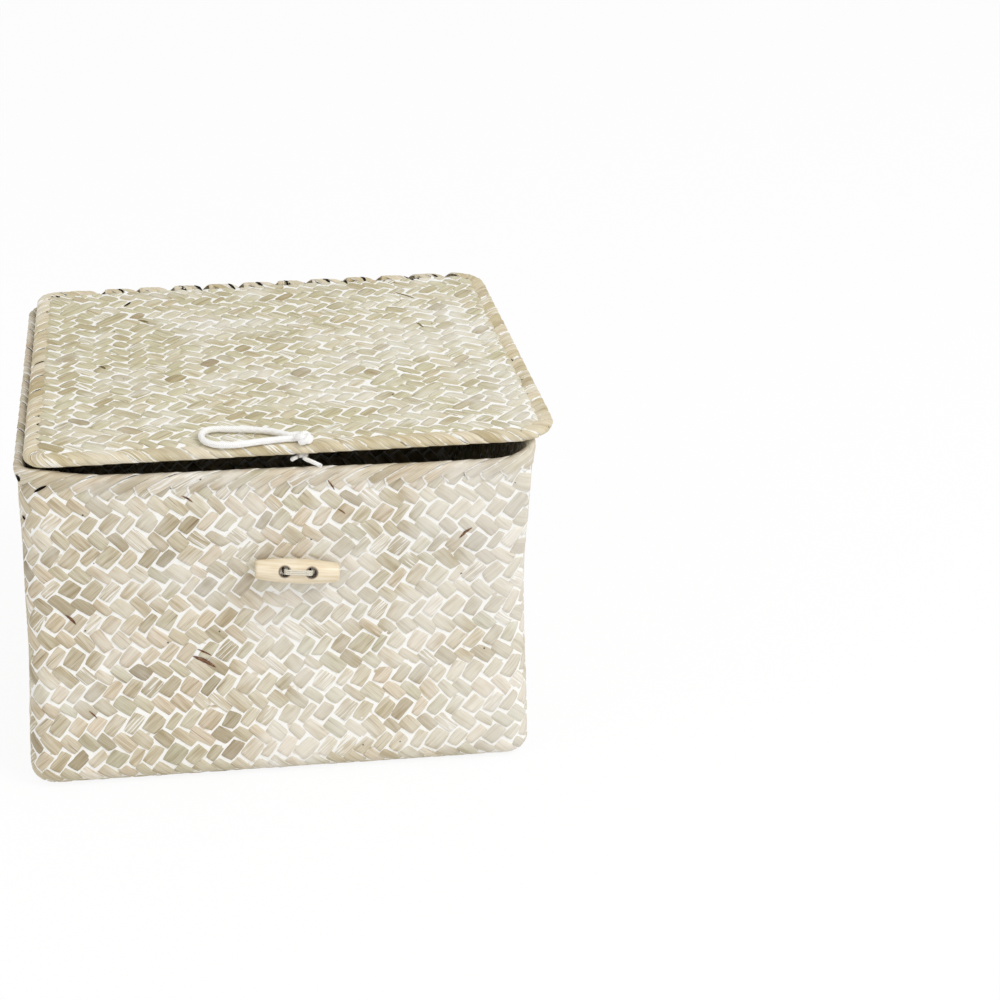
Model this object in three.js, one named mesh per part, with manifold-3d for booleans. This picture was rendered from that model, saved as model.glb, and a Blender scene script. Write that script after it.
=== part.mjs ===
// A lidded storage box plaited from flat seagrass strips, with a cord loop and a wooden toggle.
// Units are millimetres and +Z is up. The origin is the centre of the base's underside.
// The front, with the toggle, faces -Y, and the lid is lashed to the rim along the rear.

import * as THREE from 'three';
import { mergeVertices } from 'three/addons/utils/BufferGeometryUtils.js';
import Module from 'manifold-3d';

const wasm = await Module();
wasm.setup();

// Body: sizes over the folded rim, whose height is the one at the corners
const bodyWidth = 254;
const bodyDepth = 236;
const bodyHeight = 172;
const bodyCornerRadius = 14;
const baseEdgeRadius = 9;
const baseSwell = 1.4;
const waistPinch = 4.7;
const straightHeightShare = 0.92;
// The whole box is narrower at its rear, and its upper part leans a little to the right
const rearNarrowing = 18;
const rimShift = 1.7;
const leanStart = 90;
const leanEnd = 145;
const frontDip = 7.4;
// How the front edge sags from its left corner to its right one: place and depth of the sag
const frontDipShares = [
  [0, 0], [0.03, 0.18], [0.06, 0.38], [0.12, 0.6], [0.25, 0.72], [0.5, 0.8],
  [0.7, 0.93], [0.84, 1], [0.92, 0.98], [0.95, 0.8], [0.97, 0.5], [0.985, 0.2], [1, 0],
];

// Weave: one layer is two crossing strips thick, and walls and lid are two layers
const weaveThickness = 1.2;
const layerGap = 0.3;
const stripSpacing = 9.4;
// The faces stand out where strips cross on top and sink between; every other crossing is modelled
const weaveRelief = 0.5;
const reliefSpacing = 18;
const seatGap = 0.3;

// Folded edges: slanted strips that lap over each other and close in the ends of the weave
const foldThickness = 0.8;
const foldRelief = 0.5;
const foldGap = 0.4;
const foldShoulder = 1;
const foldLapShare = 0.9;
const rimOuterBand = 10.5;
const rimInnerBand = 9;
const rimStripSlant = 33 * THREE.MathUtils.DEG2RAD;
const lidBand = 10;
const lidStripSlant = 57 * THREE.MathUtils.DEG2RAD;

// Lid
const lidWidth = 261;
const lidShift = 10.5;
const lidFrontOverhang = 0.5;
const lidCornerRadii = { frontLeft: 13, frontRight: 24, rearRight: 18, rearLeft: 13 };

// Hinge: straps ring the lid's rear edge, which narrows to a core inside each ring
const hingeCoreRadius = 1.5;
const strapClearance = 0.35;
const strapThickness = 0.8;
const strapWidth = 6.2;
const strapSideGap = 1.2;
const strapStrips = 2;
const strapEndMargin = 4;

// Cord loop, tied through the lid just behind its front edge
const cordRadius = 1.75;
const tailRadius = 1.3;
const knotX = 15.8;
const knotY = -116;
const knotTurnRadius = 2.2;
const knotTurns = 2;
const knotTurnSpacing = 3.7;
const stemX = 15;
const stemY = -111;
const stemRadius = 2.2;
const stemClearance = 0.4;
const stopKnotRadius = 3.6;
const stopKnotHeight = 3.8;
const cordSides = 8;
const loopSteps = 32;
const tailSteps = 5;
const loopPoints = [
  [10.8, -109.2], [8.7, -109], [3.7, -105.2], [-0.5, -102.3], [-6.9, -100.2], [-13.3, -98.5], [-19.7, -97.2],
  [-26.2, -96.3], [-30.9, -98], [-33.2, -103.4], [-32, -110.6], [-27.3, -115.6], [-20.9, -117.3],
  [-14.5, -117], [-7.9, -115.6], [-1.4, -114.5], [4, -113.8], [8, -113.5], [10.8, -113.5],
];
const longTailPoints = [
  [15.5, -115, 170], [16.6, -116.7, 170], [18.4, -118.9, 169.9], [20.8, -121.2, 169.5], [23, -123, 168.8],
];
const shortTailPoints = [[12, -113.6, 170], [10, -114.5, 170], [8.2, -115.9, 170]];

// Toggle, sewn to the front wall with two stitches' worth of thread through both holes
const toggleLength = 41;
const toggleRadius = 6.1;
const toggleEndRadius = 4.6;
const toggleEndBevel = 0.8;
const toggleHoleRadius = 2.5;
const toggleHoleSpacing = 13.2;
const toggleX = 10;
const toggleHeight = 112.9;
const toggleTilt = 6.3 * THREE.MathUtils.DEG2RAD;
const toggleRoll = 18 * THREE.MathUtils.DEG2RAD;
const threadThickness = 1.6;
const threadWidth = 2.6;
const threadCornerRadius = 0.6;
const stitchHoleRadius = 2;

// Mesh fineness
const cornerSteps = 5;
const edgeSteps = 3;
const roundSteps = 12;
const overrun = 1;

// Sizes that follow from the ones above
const stackThickness = 2 * weaveThickness + layerGap;
const foldReach = stackThickness / 2 + foldGap + foldThickness;
const foldFullReach = foldReach + foldRelief;
const channelReach = stackThickness / 2 + foldGap;
const wallHalfX = bodyWidth / 2 - foldFullReach + stackThickness / 2;
const wallHalfY = bodyDepth / 2 - foldFullReach + stackThickness / 2;
const wallCornerRadius = bodyCornerRadius - foldFullReach + stackThickness / 2;
const wallTopDrop = foldRelief + foldThickness + 2 * foldGap;
const wallLevels = Math.round((bodyHeight - baseEdgeRadius) / reliefSpacing);
const wallSideSteps = 2 * Math.round((wallHalfX + wallHalfY - 2 * wallCornerRadius) / (2 * reliefSpacing));
const strapInnerRadius = hingeCoreRadius + strapClearance;
const strapOuterRadius = strapInnerRadius + strapThickness;
const hingeY = bodyDepth / 2 + seatGap - strapInnerRadius;
const hingeZ = bodyHeight + seatGap + foldFullReach;
const notchReach = strapOuterRadius + strapClearance;
const lidFrontY = -bodyDepth / 2 - lidFrontOverhang;
const lidTopZ = hingeZ + foldFullReach;

const grass = { roughness: 0.75, metalness: 0 };
const materials = {
  wall: new THREE.MeshStandardMaterial({ color: 0xd8cdb4, ...grass }),
  lining: new THREE.MeshStandardMaterial({ color: 0xcfc3a8, ...grass }),
  lid: new THREE.MeshStandardMaterial({ color: 0xd6cfae, ...grass }),
  fold: new THREE.MeshStandardMaterial({ color: 0xcbbf9c, ...grass }),
  strap: new THREE.MeshStandardMaterial({ color: 0xc6bb95, ...grass }),
  cord: new THREE.MeshStandardMaterial({ color: 0xf3f2ef, roughness: 0.9, metalness: 0 }),
  thread: new THREE.MeshStandardMaterial({ color: 0xdedbd2, roughness: 0.85, metalness: 0 }),
  wood: new THREE.MeshStandardMaterial({ color: 0xe6d5ab, roughness: 0.5, metalness: 0 }),
};

function toSolid(geometry) {
  const bare = geometry.clone();
  bare.deleteAttribute('normal');
  bare.deleteAttribute('uv');
  const merged = mergeVertices(bare);
  const vertProperties = new Float32Array(merged.attributes.position.array);
  const triVerts = new Uint32Array(merged.index.array);
  return new wasm.Manifold(new wasm.Mesh({ numProp: 3, vertProperties, triVerts }));
}

function toGeometry(solid) {
  const mesh = solid.getMesh();
  const geometry = new THREE.BufferGeometry();
  geometry.setAttribute('position', new THREE.BufferAttribute(mesh.vertProperties, 3));
  geometry.setIndex(new THREE.BufferAttribute(mesh.triVerts, 1));
  geometry.computeVertexNormals();
  return geometry;
}

function cutAll(solid, cutters) {
  return cutters.reduce((left, cutter) => left.subtract(cutter), solid);
}

function meshOf(name, geometry, material) {
  const mesh = new THREE.Mesh(geometry, material);
  mesh.name = name;
  return mesh;
}

function geometryFrom(points, triangles) {
  const geometry = new THREE.BufferGeometry();
  geometry.setAttribute('position', new THREE.Float32BufferAttribute(points.flatMap((p) => p.toArray()), 3));
  geometry.setIndex(triangles.flat());
  geometry.computeVertexNormals();
  return geometry;
}

// The height of the rim above the base: level on three sides, sagging along the front
function rimTop(x, y) {
  const reach = bodyWidth / 2 - bodyCornerRadius;
  const place = (x + reach) / (2 * reach);
  if (y > 0 || place <= 0 || place >= 1) return bodyHeight;
  const next = frontDipShares.findIndex(([share]) => share >= place);
  const [fromShare, fromDepth] = frontDipShares[next - 1];
  const [toShare, toDepth] = frontDipShares[next];
  const depth = THREE.MathUtils.mapLinear(place, fromShare, toShare, fromDepth, toDepth);
  return bodyHeight - frontDip * depth;
}

// How far the wall stands out from its straight upper part: swollen at the base, drawn in above it
function wallSwell(height) {
  const share = Math.min(height / (straightHeightShare * bodyHeight), 1);
  const swell = (baseSwell * (1 + Math.cos(Math.PI * share))) / 2;
  return swell - waistPinch * Math.sin(Math.PI * share) ** 2;
}

// How far the wall has leant to the right at a height
function wallLean(height) {
  return rimShift * THREE.MathUtils.smoothstep(height, leanStart, leanEnd);
}

// The share of its full width that the box has at a place from front to rear
function widthShare(y) {
  return 1 - ((rearNarrowing / bodyWidth) * (y + bodyDepth / 2)) / bodyDepth;
}

// Narrows a geometry towards the rear of the box; the origin is where its own one lies in the box
function narrowed(geometry, originX, originY) {
  const points = geometry.attributes.position;
  for (let index = 0; index < points.count; index++) {
    const share = widthShare(points.getY(index) + originY);
    points.setX(index, (points.getX(index) + originX) * share - originX);
  }
  return geometry;
}

// How far a woven face sinks, from places counted in crossings along two sides: the sum of two
// diagonal sets of ribs, one for each way that the strips run
function weaveSink(across, up) {
  return (weaveRelief * (1 - Math.cos(Math.PI * across) * Math.cos(Math.PI * up))) / 2;
}

// Places round the wall, anticlockwise: points of its outline, their outward directions and the
// crossings before them. The front has more, where the rim's sag bends.
function wallPlaces(sideSteps) {
  const corners = [[1, -1], [1, 1], [-1, 1], [-1, -1]];
  const bends = frontDipShares.slice(1, -1).map(([share]) => share);
  const evenShares = Array.from({ length: sideSteps - 1 }, (_, index) => (index + 1) / sideSteps);
  const arcs = corners.map(([signX, signY], corner) =>
    Array.from({ length: cornerSteps + 1 }, (_, step) => {
      const angle = ((corner - 1 + step / cornerSteps) * Math.PI) / 2;
      const outward = new THREE.Vector2(Math.cos(angle), Math.sin(angle));
      const centre = new THREE.Vector2(
        signX * (wallHalfX - wallCornerRadius), signY * (wallHalfY - wallCornerRadius));
      const crossings = corner * (sideSteps + 2) + (2 * step) / cornerSteps;
      return { point: outward.clone().multiplyScalar(wallCornerRadius).add(centre), outward, crossings };
    }));
  return arcs.flatMap((arc, corner) => {
    const from = arc.at(-1);
    const to = arcs[(corner + 1) % arcs.length][0];
    const shares = corner === arcs.length - 1 ? [...new Set([...evenShares, ...bends])] : evenShares;
    const between = shares.sort((first, second) => first - second).map((share) => ({
      point: from.point.clone().lerp(to.point, share),
      outward: from.outward,
      crossings: from.crossings + share * sideSteps,
    }));
    return [...arc, ...between];
  });
}

// The rings of one face of a wall, from the edge of its floor up to its top
function wallRings(places, inset, relief) {
  const edgeRadius = baseEdgeRadius - inset;
  const rings = [];
  for (let step = 0; step <= edgeSteps; step++) {
    const angle = (step / edgeSteps) * (Math.PI / 2);
    const height = baseEdgeRadius - edgeRadius * Math.cos(angle);
    const reach = wallSwell(height) - baseEdgeRadius + edgeRadius * Math.sin(angle);
    rings.push(places.map(({ point, outward }) => {
      const moved = point.clone().addScaledVector(outward, reach);
      return new THREE.Vector3(moved.x + wallLean(height), moved.y, height);
    }));
  }
  for (let level = 1; level <= wallLevels; level++) {
    const share = level / wallLevels;
    const levelHeight = THREE.MathUtils.lerp(baseEdgeRadius, bodyHeight, share);
    rings.push(places.map(({ point, outward, crossings }) => {
      const sink = relief && level < wallLevels ? weaveSink(crossings, level) : 0;
      const moved = point.clone().addScaledVector(outward, wallSwell(levelHeight) - inset - sink);
      const height = THREE.MathUtils.lerp(baseEdgeRadius, rimTop(point.x, point.y) - wallTopDrop, share);
      return new THREE.Vector3(moved.x + wallLean(levelHeight), moved.y, height);
    }));
  }
  return rings;
}

// A cup with one layer of weave for its walls and floor
function cupGeometry(inset, sideSteps, relief) {
  const places = wallPlaces(sideSteps);
  const rings = [
    ...wallRings(places, inset, relief), ...wallRings(places, inset + weaveThickness, false).reverse()];
  const count = rings[0].length;
  const triangles = [];
  for (let ring = 0; ring < rings.length - 1; ring++) {
    for (let place = 0; place < count; place++) {
      const next = (place + 1) % count;
      const [a, b] = [ring * count + place, ring * count + next];
      triangles.push([a, b, b + count], [a, b + count, a + count]);
    }
  }
  const flat = (ring) => ring.map((point) => new THREE.Vector2(point.x, point.y));
  const last = (rings.length - 1) * count;
  THREE.ShapeUtils.triangulateShape(flat(rings[0]), []).forEach(([a, b, c]) => triangles.push([a, c, b]));
  THREE.ShapeUtils.triangulateShape(flat(rings.at(-1)), []).forEach(([a, b, c]) => {
    triangles.push([last + a, last + b, last + c]);
  });
  return narrowed(geometryFrom(rings.flat(), triangles), 0, 0);
}

function roundedPath(PathClass, halfX, halfY, radii) {
  const { frontLeft, frontRight, rearRight, rearLeft } = radii;
  const quarter = Math.PI / 2;
  const path = new PathClass();
  path.moveTo(frontLeft - halfX, -halfY);
  path.lineTo(halfX - frontRight, -halfY);
  path.absarc(halfX - frontRight, frontRight - halfY, frontRight, -quarter, 0);
  path.lineTo(halfX, halfY - rearRight);
  path.absarc(halfX - rearRight, halfY - rearRight, rearRight, 0, quarter);
  path.lineTo(rearLeft - halfX, halfY);
  path.absarc(rearLeft - halfX, halfY - rearLeft, rearLeft, quarter, 2 * quarter);
  path.lineTo(-halfX, frontLeft - halfY);
  path.absarc(frontLeft - halfX, frontLeft - halfY, frontLeft, 2 * quarter, 3 * quarter);
  return path;
}

// Slanted strips folded over a closed edge. Each strip rises along its width and laps the next.
// skin holds the section's outer points and channel those that face the weave, as {out, up} pairs.
// The strips' slant shifts the skin along the edge by a whole number of strips from end to end,
// so the skin's last row meets the channel's first row that many strips further on.
function foldedEdge(path, skin, channel, slant, heightAt) {
  const length = path.getLength();
  const stripCount = Math.round(length / stripSpacing);
  const spacing = length / stripCount;
  const along = skin.map((point, row) =>
    skin.slice(1, row + 1).reduce((sum, next, index) =>
      sum + Math.hypot(next.out - skin[index].out, next.up - skin[index].up), 0));
  const shiftStrips = Math.round((slant * along.at(-1)) / spacing);
  const shiftPerLength = (shiftStrips * spacing) / along.at(-1);

  const place = (distance, out, up) => {
    const share = THREE.MathUtils.euclideanModulo(distance / length, 1);
    const point = path.getPoint(share);
    const tangent = path.getTangent(share);
    return new THREE.Vector3(
      point.x + out * tangent.y, point.y - out * tangent.x, heightAt(point.x, point.y) + up);
  };
  const outward = skin.map((point, row) => {
    const before = skin[Math.max(row - 1, 0)];
    const after = skin[Math.min(row + 1, skin.length - 1)];
    return new THREE.Vector2(after.up - before.up, before.out - after.out).normalize();
  });

  const stationCount = 2 * stripCount;
  const rows = skin.length + channel.length;
  const points = [];
  for (let station = 0; station < stationCount; station++) {
    const raised = station % 2;
    const distance = (Math.floor(station / 2) + raised * foldLapShare) * spacing;
    skin.forEach((point, row) => {
      const out = point.out + outward[row].x * raised * foldRelief;
      const up = point.up + outward[row].y * raised * foldRelief;
      points.push(place(distance + along[row] * shiftPerLength, out, up));
    });
    const evenDistance = (station * spacing) / 2;
    channel.forEach((point) => points.push(place(evenDistance, point.out, point.up)));
  }

  const vertex = (station, row) => {
    const turned = THREE.MathUtils.euclideanModulo(station, stationCount);
    return turned * rows + (row % rows);
  };
  const seam = skin.length - 1;
  const triangles = [];
  for (let station = 0; station < stationCount; station++) {
    for (let row = 0; row < rows; row++) {
      const ahead = row === seam ? 2 * shiftStrips : 0;
      const a = vertex(station, row);
      const b = vertex(station + 1, row);
      const c = vertex(station + 1 + ahead, row + 1);
      const d = vertex(station + ahead, row + 1);
      const leansForward = row < seam && shiftStrips > 0;
      triangles.push(...(leansForward ? [[a, b, d], [b, c, d]] : [[a, b, c], [a, c, d]]));
    }
  }
  return geometryFrom(points, triangles);
}

function rimFoldGeometry() {
  const top = -foldRelief;
  const shoulder = top - foldShoulder;
  const outerEnd = -rimOuterBand;
  const innerEnd = -rimInnerBand;
  const channelTop = top - foldThickness;
  const skin = [
    { out: foldReach, up: outerEnd },
    { out: foldReach, up: shoulder },
    { out: foldReach - foldShoulder, up: top },
    { out: foldShoulder - foldReach, up: top },
    { out: -foldReach, up: shoulder },
    { out: -foldReach, up: innerEnd },
  ];
  const channel = [
    { out: -channelReach, up: innerEnd },
    { out: -channelReach, up: channelTop },
    { out: channelReach, up: channelTop },
    { out: channelReach, up: outerEnd },
  ];
  const radius = bodyCornerRadius - foldFullReach;
  const radii = { frontLeft: radius, frontRight: radius, rearRight: radius, rearLeft: radius };
  const path = roundedPath(
    THREE.Path, bodyWidth / 2 - foldFullReach, bodyDepth / 2 - foldFullReach, radii);
  const fold = foldedEdge(path, skin, channel, 1 / Math.tan(rimStripSlant), rimTop);
  return narrowed(fold.translate(rimShift, 0, 0), 0, 0);
}

function boxSolid(sizeX, sizeY, sizeZ, centre) {
  return toSolid(new THREE.BoxGeometry(sizeX, sizeY, sizeZ).translate(...centre));
}

function cylinderSolid(radius, length, direction, centre) {
  const geometry = new THREE.CylinderGeometry(radius, radius, length, roundSteps);
  const turn = new THREE.Quaternion().setFromUnitVectors(new THREE.Vector3(0, 1, 0), direction);
  return toSolid(geometry.applyQuaternion(turn).translate(...centre));
}

// The straps' centres, evenly spaced over the straight stretch that rim and lid share at the rear
function strapPlaces() {
  const spacing = strapStrips * stripSpacing;
  const halfBody = bodyWidth / 2 - bodyCornerRadius;
  const leftEnd = Math.max(rimShift - halfBody, lidShift - lidWidth / 2 + lidCornerRadii.rearLeft);
  const rightEnd = Math.min(rimShift + halfBody, lidShift + lidWidth / 2 - lidCornerRadii.rearRight);
  const left = leftEnd * widthShare(hingeY) + strapEndMargin;
  const right = rightEnd * widthShare(hingeY) - strapEndMargin;
  const count = Math.floor((right - left - strapWidth) / spacing) + 1;
  const first = (left + right - (count - 1) * spacing) / 2;
  return Array.from({ length: count }, (_, index) => first + index * spacing);
}

const xAxis = new THREE.Vector3(1, 0, 0);
const yAxis = new THREE.Vector3(0, 1, 0);
const zAxis = new THREE.Vector3(0, 0, 1);

// The path that the lid's edge bead follows, its radii those of the lid less the bead
const lidPathHalfX = lidWidth / 2 - foldFullReach;
const lidPathRear = hingeY;
const lidPathFront = lidFrontY + foldFullReach;
const lidPathHalfY = (lidPathRear - lidPathFront) / 2;
const lidCentreY = (lidPathRear + lidPathFront) / 2;

function lidRadii(inset) {
  return Object.fromEntries(Object.entries(lidCornerRadii).map(([corner, radius]) => [corner, radius - inset]));
}

function lidFoldGeometry() {
  const legEnd = foldFullReach - lidBand;
  const eighth = foldReach * Math.tan(Math.PI / 8);
  const skin = [
    { out: legEnd, up: -foldReach },
    { out: eighth, up: -foldReach },
    { out: foldReach, up: -eighth },
    { out: foldReach, up: eighth },
    { out: eighth, up: foldReach },
    { out: legEnd, up: foldReach },
  ];
  const channel = [
    { out: legEnd, up: channelReach },
    { out: -notchReach, up: channelReach },
    { out: -notchReach, up: -channelReach },
    { out: legEnd, up: -channelReach },
  ];
  const path = roundedPath(THREE.Path, lidPathHalfX, lidPathHalfY, lidRadii(foldFullReach));
  const fold = foldedEdge(path, skin, channel, -1 / Math.tan(lidStripSlant), () => 0);
  const ring = toSolid(narrowed(fold, lidShift, lidCentreY));
  const notchHeight = 2 * (foldFullReach + overrun);
  const notchDepth = notchReach + foldFullReach + overrun;
  const notchWidth = strapWidth + 2 * strapSideGap;
  const notches = strapPlaces().map((x) => {
    const middle = x - lidShift;
    const rearwards = lidPathHalfY - notchReach + notchDepth / 2;
    const block = boxSolid(notchWidth, notchDepth, notchHeight, [middle, rearwards, 0]);
    const core = cylinderSolid(hingeCoreRadius, notchWidth + 2 * overrun, xAxis, [middle, lidPathHalfY, 0]);
    return block.subtract(core);
  });
  return toGeometry(cutAll(ring, [...notches, stemHole()]));
}

function stemHole() {
  const height = 2 * (foldFullReach + overrun);
  return cylinderSolid(stemRadius + stemClearance, height, zAxis, [stemX - lidShift, stemY - lidCentreY, 0]);
}

// A sheet larger than the lid whose upper face has the weave's relief
function reliefSheet(halfX, halfY) {
  const stepsX = Math.ceil(halfX / reliefSpacing);
  const stepsY = Math.ceil(halfY / reliefSpacing);
  const sheet = new THREE.BoxGeometry(
    2 * stepsX * reliefSpacing, 2 * stepsY * reliefSpacing, weaveThickness, 2 * stepsX, 2 * stepsY, 1);
  const points = sheet.attributes.position;
  for (let index = 0; index < points.count; index++) {
    const sink = weaveSink(points.getX(index) / reliefSpacing, points.getY(index) / reliefSpacing);
    if (points.getZ(index) > 0) points.setZ(index, points.getZ(index) - sink);
  }
  return toSolid(sheet.translate(0, 0, weaveThickness / 2));
}

function lidPanelGeometry(bottom, relief) {
  const inset = notchReach + foldGap;
  const shape = roundedPath(
    THREE.Shape, lidPathHalfX - inset, lidPathHalfY - inset, lidRadii(foldFullReach + inset));
  const flat = toSolid(new THREE.ExtrudeGeometry(
    shape, { depth: weaveThickness, bevelEnabled: false, curveSegments: cornerSteps }));
  const panel = toGeometry(relief ? flat.intersect(reliefSheet(lidPathHalfX, lidPathHalfY)) : flat);
  narrowed(panel.translate(0, 0, bottom), lidShift, lidCentreY);
  return toGeometry(cutAll(toSolid(panel), [stemHole()]));
}

// A strap is a ring round the lid's core with a tail down the outside of the rim
function strapGeometry() {
  const tailLength = hingeZ - bodyHeight + rimOuterBand - foldShoulder;
  const meeting = Math.acos(strapInnerRadius / strapOuterRadius);
  const shape = new THREE.Shape();
  shape.moveTo(strapOuterRadius, -tailLength);
  shape.absarc(0, 0, strapOuterRadius, 0, 2 * Math.PI - meeting);
  shape.lineTo(strapInnerRadius, -tailLength);
  const hole = new THREE.Path();
  hole.absarc(0, 0, strapInnerRadius, 0, 2 * Math.PI);
  shape.holes.push(hole);
  const geometry = new THREE.ExtrudeGeometry(
    shape, { depth: strapWidth, bevelEnabled: false, curveSegments: roundSteps / 2 });
  geometry.translate(0, 0, -strapWidth / 2);
  return geometry.applyMatrix4(new THREE.Matrix4().makeBasis(yAxis, zAxis, xAxis));
}

function cordTube(points, radius, steps) {
  const curve = new THREE.CatmullRomCurve3(points, false, 'centripetal');
  const section = new THREE.Shape();
  section.absarc(0, 0, radius, 0, 2 * Math.PI);
  return new THREE.ExtrudeGeometry(
    section, { extrudePath: curve, steps, curveSegments: cordSides / 2, bevelEnabled: false });
}

const cordZ = lidTopZ + seatGap + cordRadius;

function loopCordGeometry() {
  return cordTube(loopPoints.map(([x, y]) => new THREE.Vector3(x, y, cordZ)), cordRadius, loopSteps);
}

function tailGeometry(points) {
  return cordTube(points.map((point) => new THREE.Vector3(...point)), tailRadius, tailSteps);
}

// The knot: turns of the cord side by side on the lid's edge, and the stem that goes through the lid
function loopKnotGeometry() {
  const turns = Array.from({ length: knotTurns }, (_, index) => {
    const x = knotX + (index - (knotTurns - 1) / 2) * knotTurnSpacing;
    const turn = new THREE.TorusGeometry(knotTurnRadius, cordRadius, cordSides, roundSteps);
    return toSolid(turn.rotateY(Math.PI / 2).translate(x, knotY, cordZ + knotTurnRadius));
  });
  const stemBottom = hingeZ - foldFullReach;
  const stemTop = cordZ + cordRadius;
  const stem = cylinderSolid(
    stemRadius, stemTop - stemBottom, zAxis, [stemX, stemY, (stemTop + stemBottom) / 2]);
  const strands = [loopPoints[0], loopPoints.at(-1)].map(([x, y]) => {
    const start = new THREE.Vector3(x + seatGap, y, cordZ);
    const middle = new THREE.Vector3((start.x + knotX) / 2, y, cordZ);
    const end = new THREE.Vector3(knotX, (stemY + knotY) / 2, cordZ + cordRadius / 2);
    return toSolid(cordTube([start, middle, end], cordRadius, tailSteps));
  });
  return toGeometry([...turns, ...strands].reduce((sum, strand) => sum.add(strand), stem));
}

function stopKnotGeometry() {
  const knot = new THREE.SphereGeometry(1, roundSteps, cordSides);
  knot.rotateX(Math.PI / 2).scale(stopKnotRadius, stopKnotRadius, stopKnotHeight / 2);
  return knot.translate(stemX, stemY, bodyHeight - stopKnotHeight / 2);
}

// The wall's face behind the toggle, and the toggle's middle in front of it. The toggle is tilted
// along the wall, and rolled so that its holes face a little upwards.
const toggleWallTop = rimTop(toggleX, -wallHalfY) - wallTopDrop;
const toggleLevel = THREE.MathUtils.mapLinear(
  toggleHeight, baseEdgeRadius, toggleWallTop, baseEdgeRadius, bodyHeight);
const toggleWallY = -wallHalfY - wallSwell(toggleLevel);
const toggleY = toggleWallY - seatGap - toggleRadius;
const toggleTurn = new THREE.Euler(-toggleRoll, toggleTilt, 0, 'YXZ');

function toggleHolePlaces() {
  return [-1, 1].map((side) => (side * toggleHoleSpacing) / 2);
}

function toggleGeometry() {
  const half = toggleLength / 2;
  const profile = [new THREE.Vector2(0, -half), new THREE.Vector2(toggleEndRadius - toggleEndBevel, -half)];
  const bodyHalf = half - toggleEndBevel;
  for (let step = 0; step <= roundSteps / 2; step++) {
    const place = (4 * step) / roundSteps - 1;
    const radius = toggleEndRadius + (toggleRadius - toggleEndRadius) * (1 - place ** 2);
    profile.push(new THREE.Vector2(radius, place * bodyHalf));
  }
  profile.push(new THREE.Vector2(toggleEndRadius - toggleEndBevel, half), new THREE.Vector2(0, half));
  const barrel = new THREE.LatheGeometry(profile, roundSteps).rotateZ(-Math.PI / 2);
  const drillLength = 2 * (toggleRadius + overrun);
  const drills = toggleHolePlaces().map((x) => cylinderSolid(toggleHoleRadius, drillLength, yAxis, [x, 0, 0]));
  return toGeometry(cutAll(toSolid(barrel), drills));
}

// The thread is a closed band: over the toggle between its holes, through the wall and along the lining
function threadGeometry() {
  const outerHalf = (toggleHoleSpacing + threadThickness) / 2;
  const front = -toggleRadius - seatGap - threadThickness;
  const throughWall = toggleRadius + stackThickness + 3 * seatGap;
  const rear = (throughWall + (threadWidth / 2) * Math.sin(toggleRoll)) / Math.cos(toggleRoll) + threadThickness;
  const halfLength = (rear - front) / 2;
  const outerRadius = threadCornerRadius + threadThickness;
  const evenRadii = (radius) => ({ frontLeft: radius, frontRight: radius, rearRight: radius, rearLeft: radius });
  const band = roundedPath(THREE.Shape, outerHalf, halfLength, evenRadii(outerRadius));
  band.holes.push(roundedPath(
    THREE.Path, outerHalf - threadThickness, halfLength - threadThickness, evenRadii(threadCornerRadius)));
  const geometry = new THREE.ExtrudeGeometry(
    band, { depth: threadWidth, bevelEnabled: false, curveSegments: edgeSteps });
  return geometry.translate(0, (front + rear) / 2, -threadWidth / 2);
}

function wallGeometry(inset, sideSteps, relief) {
  const direction = yAxis.clone().applyEuler(toggleTurn);
  const toWall = (toggleRadius + seatGap + stackThickness / 2) / Math.cos(toggleRoll);
  const drills = toggleHolePlaces().map((x) => {
    const middle = new THREE.Vector3(x, toWall, 0).applyEuler(toggleTurn);
    middle.add(new THREE.Vector3(toggleX, toggleY, toggleHeight));
    return cylinderSolid(stitchHoleRadius, baseEdgeRadius + stackThickness, direction, middle.toArray());
  });
  return toGeometry(cutAll(toSolid(cupGeometry(inset, sideSteps, relief)), drills));
}

const box = new THREE.Group();
box.add(
  meshOf('body_outer_weave', wallGeometry(0, wallSideSteps, true), materials.wall),
  meshOf('body_lining_weave', wallGeometry(weaveThickness + layerGap, 1, false), materials.lining),
  meshOf('body_rim_fold', rimFoldGeometry(), materials.fold),
);

const lid = new THREE.Group();
lid.position.set(lidShift, lidCentreY, hingeZ);
lid.add(
  meshOf('lid_top_weave', lidPanelGeometry(layerGap / 2, true), materials.lid),
  meshOf('lid_under_weave', lidPanelGeometry(-layerGap / 2 - weaveThickness, false), materials.lining),
  meshOf('lid_edge_fold', lidFoldGeometry(), materials.fold),
);

const hinge = new THREE.Group();
strapPlaces().forEach((x, index) => {
  const strap = meshOf(`hinge_strap_${String(index + 1).padStart(2, '0')}`, strapGeometry(), materials.strap);
  strap.position.set(x, hingeY, hingeZ);
  hinge.add(strap);
});

const closure = new THREE.Group();
closure.add(
  meshOf('loop_cord', loopCordGeometry(), materials.cord),
  meshOf('loop_knot', loopKnotGeometry(), materials.cord),
  meshOf('loop_stop_knot', stopKnotGeometry(), materials.cord),
  meshOf('loop_tail_long', tailGeometry(longTailPoints), materials.cord),
  meshOf('loop_tail_short', tailGeometry(shortTailPoints), materials.cord),
);

const toggle = new THREE.Group();
toggle.position.set(toggleX, toggleY, toggleHeight);
toggle.rotation.copy(toggleTurn);
toggle.add(
  meshOf('toggle_button', toggleGeometry(), materials.wood),
  meshOf('toggle_thread', threadGeometry(), materials.thread),
);

const woven = new THREE.Group();
woven.add(box, lid, hinge, closure, toggle);

export default woven;
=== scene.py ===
import math

import bmesh
import bpy
import numpy as np
from mathutils import Matrix, Vector
from mathutils.bvhtree import BVHTree


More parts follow.
